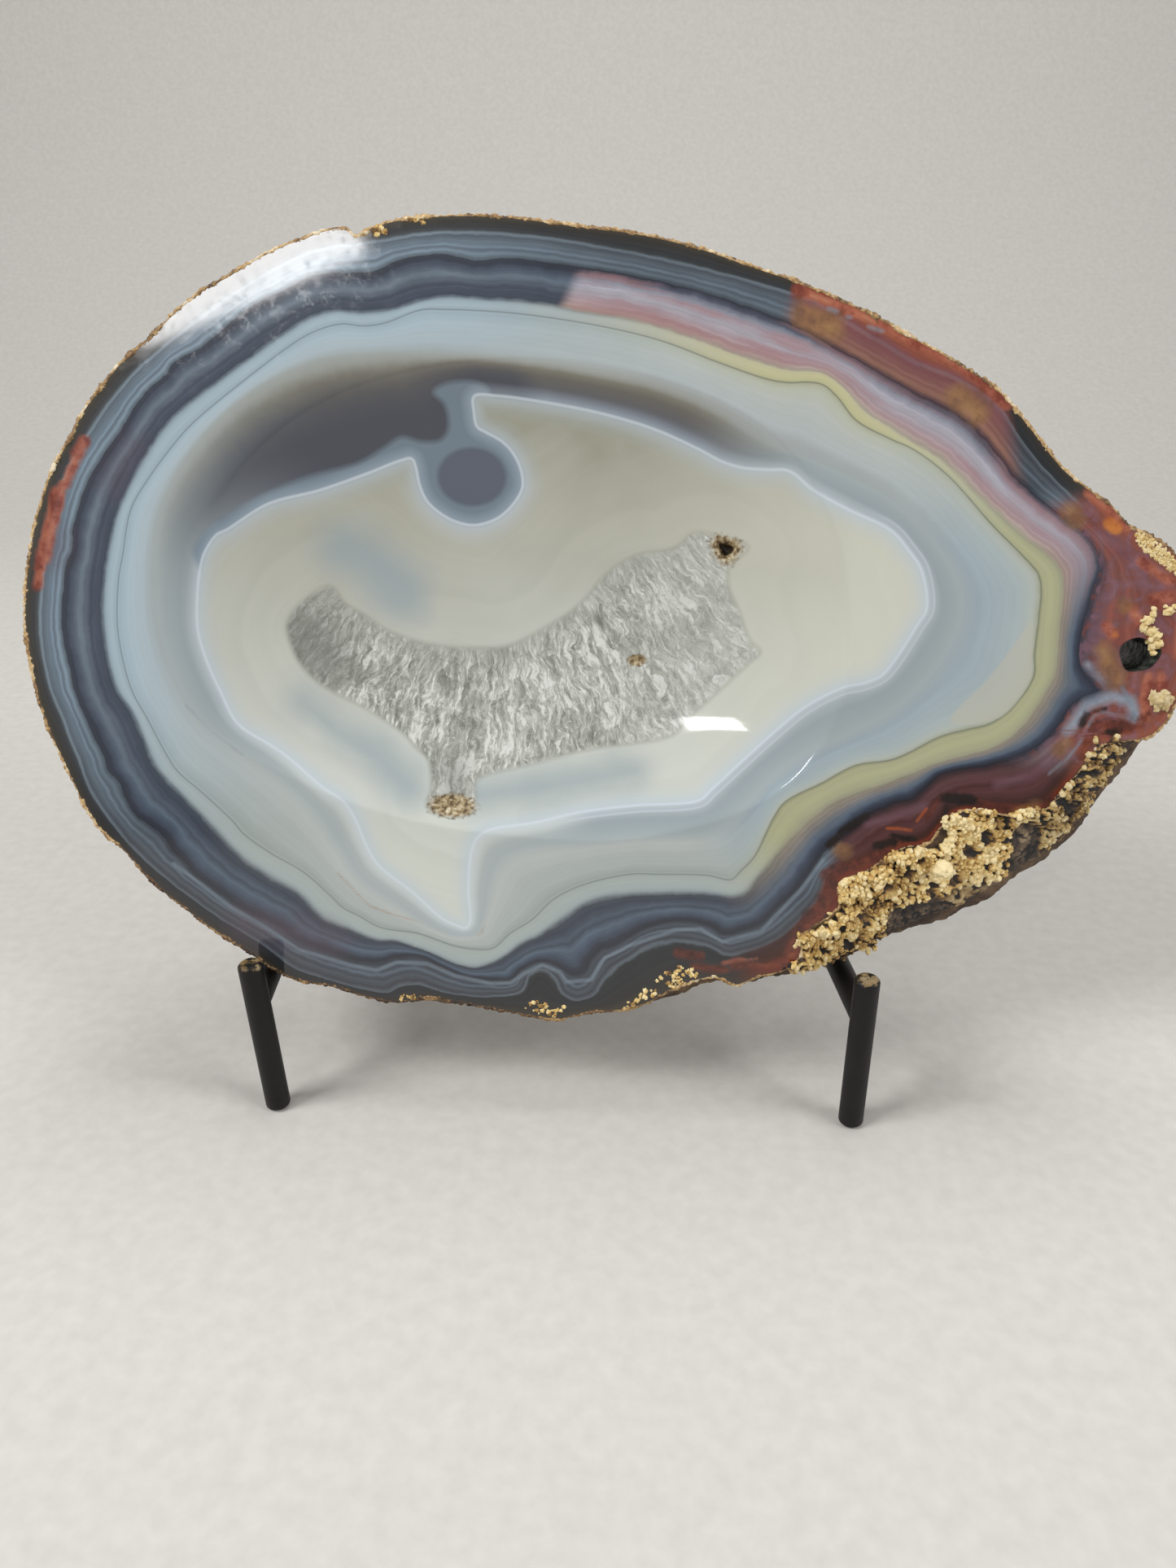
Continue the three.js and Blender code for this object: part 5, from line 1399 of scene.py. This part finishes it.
# The easel: 4.8 mm round iron rod, cut, bent and welded, then painted satin black. Two posts in front keep
# the slice from sliding, a side rod runs back from each and up behind it, and legs and two bars brace them.
ROD_RADIUS = 2.4
POST_HEIGHT = 33.7
LEFT_POST_LEAN = 1.7
RAIL_HEIGHT = 25
RAIL_FALL = math.radians(5)
BACK_SHIFT = -3
BEND_REACH = 10
UPRIGHT_REACH = 95
LEG_TOP_REACH = 80
LEG_FOOT_Y = 80
UPPER_BAR_REACH = 68
LOWER_BAR_HEIGHT = 20
BAR_INSET = 1
GAP = 0.3
UPRIGHT_N = -THICKNESS - GAP - ROD_RADIUS
ROD_SIDES = 40
RINGS_APART = 3
ROUNDING_TURNS = (0, 18, 36, 54, 72, 90)
BEND_STEPS = 14


def stand(x, y, z):
    """A point of the easel in millimetres, from the middle between the two front posts on the table."""
    return Vector((middle_x + x, middle_y + y, z))


def behind(x, v):
    """A point on the line of the uprights, just behind the slice, in millimetres."""
    return Vector(off_face(x, v, UPRIGHT_N) / MM)


def add_rod(name, path, corner=0.8, level_foot=False):
    """A round rod along a path of millimetre points, with its end edges rounded over by the corner.

    With a level foot, its last end is cut flat to the table.
    """
    first = (path[1] - path[0]).normalized()
    last = (path[-1] - path[-2]).normalized()
    stations = []
    for angle in ROUNDING_TURNS:
        ahead_by = corner * (1 - math.cos(math.radians(angle)))
        shrink = ROD_RADIUS - corner + corner * math.sin(math.radians(angle))
        stations.append((path[0] + first * ahead_by, shrink))
    for before, here in zip(path[:-1], path[1:]):
        pieces = max(1, int((here - before).length / RINGS_APART))
        for step in range(1, pieces + 1):
            stations.append((before.lerp(here, step / pieces), ROD_RADIUS))
    stations.pop()
    for angle in reversed(ROUNDING_TURNS):
        ahead_by = corner * (1 - math.cos(math.radians(angle)))
        shrink = ROD_RADIUS - corner + corner * math.sin(math.radians(angle))
        stations.append((path[-1] - last * ahead_by, shrink))
    rings = []
    across = first.orthogonal().normalized()
    for k, (centre, radius) in enumerate(stations):
        before = stations[max(k - 1, 0)][0]
        after = stations[min(k + 1, len(stations) - 1)][0]
        way = after - before
        way = way.normalized() if way.length > 1e-6 else last
        across = (across - way * across.dot(way)).normalized()
        third = way.cross(across)
        ring = []
        for i in range(ROD_SIDES):
            angle = 2 * math.pi * i / ROD_SIDES
            point = centre + across * radius * math.cos(angle) + third * radius * math.sin(angle)
            if level_foot and k >= len(stations) - len(ROUNDING_TURNS):
                want = (centre - path[-1]).length
                point = point + last * ((want - point.z) / last.z)
            ring.append(point)
        rings.append(ring)
    points = [p for ring in rings for p in ring]
    centre_first = sum(rings[0], Vector()) / ROD_SIDES
    centre_last = sum(rings[-1], Vector()) / ROD_SIDES
    faces = ring_faces(len(rings), ROD_SIDES)
    i = np.arange(ROD_SIDES)
    j = (i + 1) % ROD_SIDES
    total = len(points)
    tail = (len(rings) - 1) * ROD_SIDES
    caps = np.vstack([
        np.stack([np.full(ROD_SIDES, total), j, i], 1),
        np.stack([np.full(ROD_SIDES, total + 1), tail + i, tail + j], 1),
    ])
    points = np.array(points + [centre_first, centre_last]) * MM
    piece = add_piece(name, points, faces, caps)
    worn = soft(points[:, 2] / MM, POST_HEIGHT - 2.4, POST_HEIGHT - 0.2)
    add_attribute(piece, "worn", worn * name.endswith("post"))
    return piece


# Iron rod under satin black paint: nearly black with a soft sheen, whose surface waves a little every 1.5 mm
# and is duller in clouds of 8 mm. On top of the posts the paint is rubbed through in specks of 2 mm, and the
# bare iron there is brown and dull with rust, so it isn't given the shine of clean metal. The palest tone
# there is a painted highlight, a glint on the cut tops.
iron_material, tree, shader = new_material("black_painted_iron")
place = add_node(tree, "TexCoord").outputs["Object"]
skin_grain = add_node(tree, "TexNoise", {"Vector": place, "Scale": every(1.54), "Detail": 3})
cloud = add_node(tree, "TexNoise", {"Vector": place, "Scale": every(8.33), "Detail": 4})
paint = add_node(tree, "ValToRGB", {0: cloud.outputs["Fac"]}, [(0.3, "#0c0b0b"), (0.7, "#161414")])
worn = add_node(tree, "Attribute", attribute_name="worn")
chips = add_node(tree, "TexNoise", {"Vector": place, "Scale": every(2.08), "Detail": 5, "Roughness": 0.7})
rubbed = add_node(tree, "Math", {0: worn.outputs["Fac"], 1: chips.outputs["Fac"]}, operation="MULTIPLY")
bare = add_node(tree, "MapRange", {0: rubbed.outputs[0], 1: 0.46, 2: 0.54})
# Rusty brown bare iron, whose pale end is a painted highlight on the post tops.
bare_iron_and_glint = add_node(
    tree, "ValToRGB", {0: cloud.outputs["Fac"]}, [(0.35, "#3f2f1c"), (0.5, "#7d663f"), (0.65, "#a99b83")]
)
coat = add_node(
    tree, "Mix", {0: bare.outputs[0], 6: paint.outputs[0], 7: bare_iron_and_glint.outputs[0]}, data_type="RGBA"
)
tree.links.new(coat.outputs[2], shader.inputs["Base Color"])
rough = add_node(tree, "MapRange", {0: cloud.outputs["Fac"], 3: 0.4, 4: 0.56})
shader.inputs["Specular IOR Level"].default_value = 0.3
tree.links.new(rough.outputs[0], shader.inputs["Roughness"])
bump = add_node(tree, "Bump", {"Height": skin_grain.outputs["Fac"], "Strength": 0.25, "Distance": 0.2 * MM})
tree.links.new(bump.outputs[0], shader.inputs["Normal"])

rods = []
for side, x, post_lean in (("left", -POST_APART / 2, LEFT_POST_LEAN), ("right", POST_APART / 2, 0)):
    back_x = x + BACK_SHIFT
    post = add_rod(f"{side}_post", [stand(x, 0, POST_HEIGHT), stand(x + post_lean, 0, 0)], 0.9)
    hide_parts(f"{side}_front_post")
    start = stand(x + post_lean * (1 - RAIL_HEIGHT / POST_HEIGHT), 0, RAIL_HEIGHT)
    foot = behind(back_x, 0)
    rise = start.z - foot.z - (foot.y - start.y) * math.tan(RAIL_FALL)
    corner_at = behind(back_x, rise / (math.cos(LEAN) + math.sin(LEAN) * math.tan(RAIL_FALL)))
    top = behind(back_x, UPRIGHT_REACH)
    before = corner_at + (start - corner_at).normalized() * BEND_REACH
    after = corner_at + (top - corner_at).normalized() * BEND_REACH
    bend = []
    for step in range(BEND_STEPS + 1):
        t = step / BEND_STEPS
        bend.append(before.lerp(corner_at, t).lerp(corner_at.lerp(after, t), t))
    rail = add_rod(f"{side}_rail", [start, *bend, top], 0.9)
    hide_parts(f"{side}_side_rod")
    leg = add_rod(f"{side}_leg", [behind(back_x, LEG_TOP_REACH), stand(back_x, LEG_FOOT_Y, 0)], 0.8, True)
    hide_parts(f"{side}_rear_leg")
    rods += [post, rail, leg]
reach = POST_APART / 2 - BAR_INSET
upper = behind(0, UPPER_BAR_REACH)
leg_top = behind(0, LEG_TOP_REACH)
low_y = LEG_FOOT_Y + (leg_top.y - middle_y - LEG_FOOT_Y) * LOWER_BAR_HEIGHT / leg_top.z
for name, y, z, node in (
    ("upper_bar", upper.y - middle_y, upper.z, "upper_cross_bar"),
    ("lower_bar", low_y, LOWER_BAR_HEIGHT, "lower_cross_bar"),
):
    bar = add_rod(name, [stand(BACK_SHIFT - reach, y, z), stand(BACK_SHIFT + reach, y, z)])
    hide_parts(node)
    rods.append(bar)
for piece in rods:
    piece.data.materials.append(iron_material)

# The studio: a plain pale floor of paper that sweeps up behind, and soft light. Its sizes are in metres. The
# paper lies a fifth of a millimetre below the feet, so that the two don't flicker into each other.
FLOOR_HALF = 3
SWEEP_START = 0.45
SWEEP_RADIUS = 0.5
SWEEP_TOP = 2.5
FLOOR_DROP = 0.0002
made = bmesh.new()
profile = [(-FLOOR_HALF, 0), (SWEEP_START, 0)]
for angle in np.radians(range(0, 91, 6)):
    back = SWEEP_RADIUS * math.sin(angle)
    up = SWEEP_RADIUS * (1 - math.cos(angle))
    profile.append((SWEEP_START + back, up))
profile.append((SWEEP_START + SWEEP_RADIUS, SWEEP_TOP))
rows = [[made.verts.new((x, y, z - FLOOR_DROP)) for y, z in profile] for x in (-FLOOR_HALF, FLOOR_HALF)]
for k in range(len(profile) - 1):
    made.faces.new([rows[0][k], rows[1][k], rows[1][k + 1], rows[0][k + 1]]).smooth = True
mesh = bpy.data.meshes.new("floor")
made.to_mesh(mesh)
made.free()
floor = bpy.data.objects.new("floor", mesh)
bpy.context.scene.collection.objects.link(floor)

# Uncoated paper on a roll: matt and pale, with a faint mottle of 3 mm, coarser than its real fibres.
paper_material, tree, shader = new_material("pale_paper")
place = add_node(tree, "TexCoord").outputs["Object"]
fibres = add_node(tree, "TexNoise", {"Vector": place, "Scale": every(3.3333), "Detail": 4})
paper = add_node(tree, "ValToRGB", {0: fibres.outputs["Fac"]}, [(0.3, "#c9c5bf"), (0.7, "#d1cdc7")])
tree.links.new(paper.outputs[0], shader.inputs["Base Color"])
shader.inputs["Roughness"].default_value = 0.9
floor.data.materials.append(paper_material)


def add_softbox(name, place, width, height, watts, tilt=0):
    """A soft light at a place in metres, which faces the middle of the dish."""
    data = bpy.data.lights.new(name, "AREA")
    data.shape = "RECTANGLE"
    data.size = width
    data.size_y = height
    data.energy = watts
    lamp = bpy.data.objects.new(name, data)
    lamp.location = place
    facing = (Vector((0, 0, 0.08)) - Vector(place)).to_track_quat("-Z", "Y")
    lamp.rotation_euler = (facing @ Quaternion((0, 0, 1), math.radians(tilt))).to_euler()
    bpy.context.scene.collection.objects.link(lamp)


add_softbox("key", (-0.75, -0.45, 0.85), 0.45, 0.45, 8.8)
add_softbox("fill", (0.8, -0.45, 0.6), 0.45, 0.45, 4.7)
add_softbox("top", (0.1, 0.25, 1.1), 0.5, 0.5, 4)
add_softbox("front", (-0.523, -1.297, 0.76), 0.32, 0.13, 2.35, 30)
world = bpy.data.worlds.new("studio")
world.use_nodes = True
world.node_tree.nodes["Background"].inputs["Color"].default_value = linear("#b9bcc0")
world.node_tree.nodes["Background"].inputs["Strength"].default_value = 0.45
bpy.context.scene.world = world
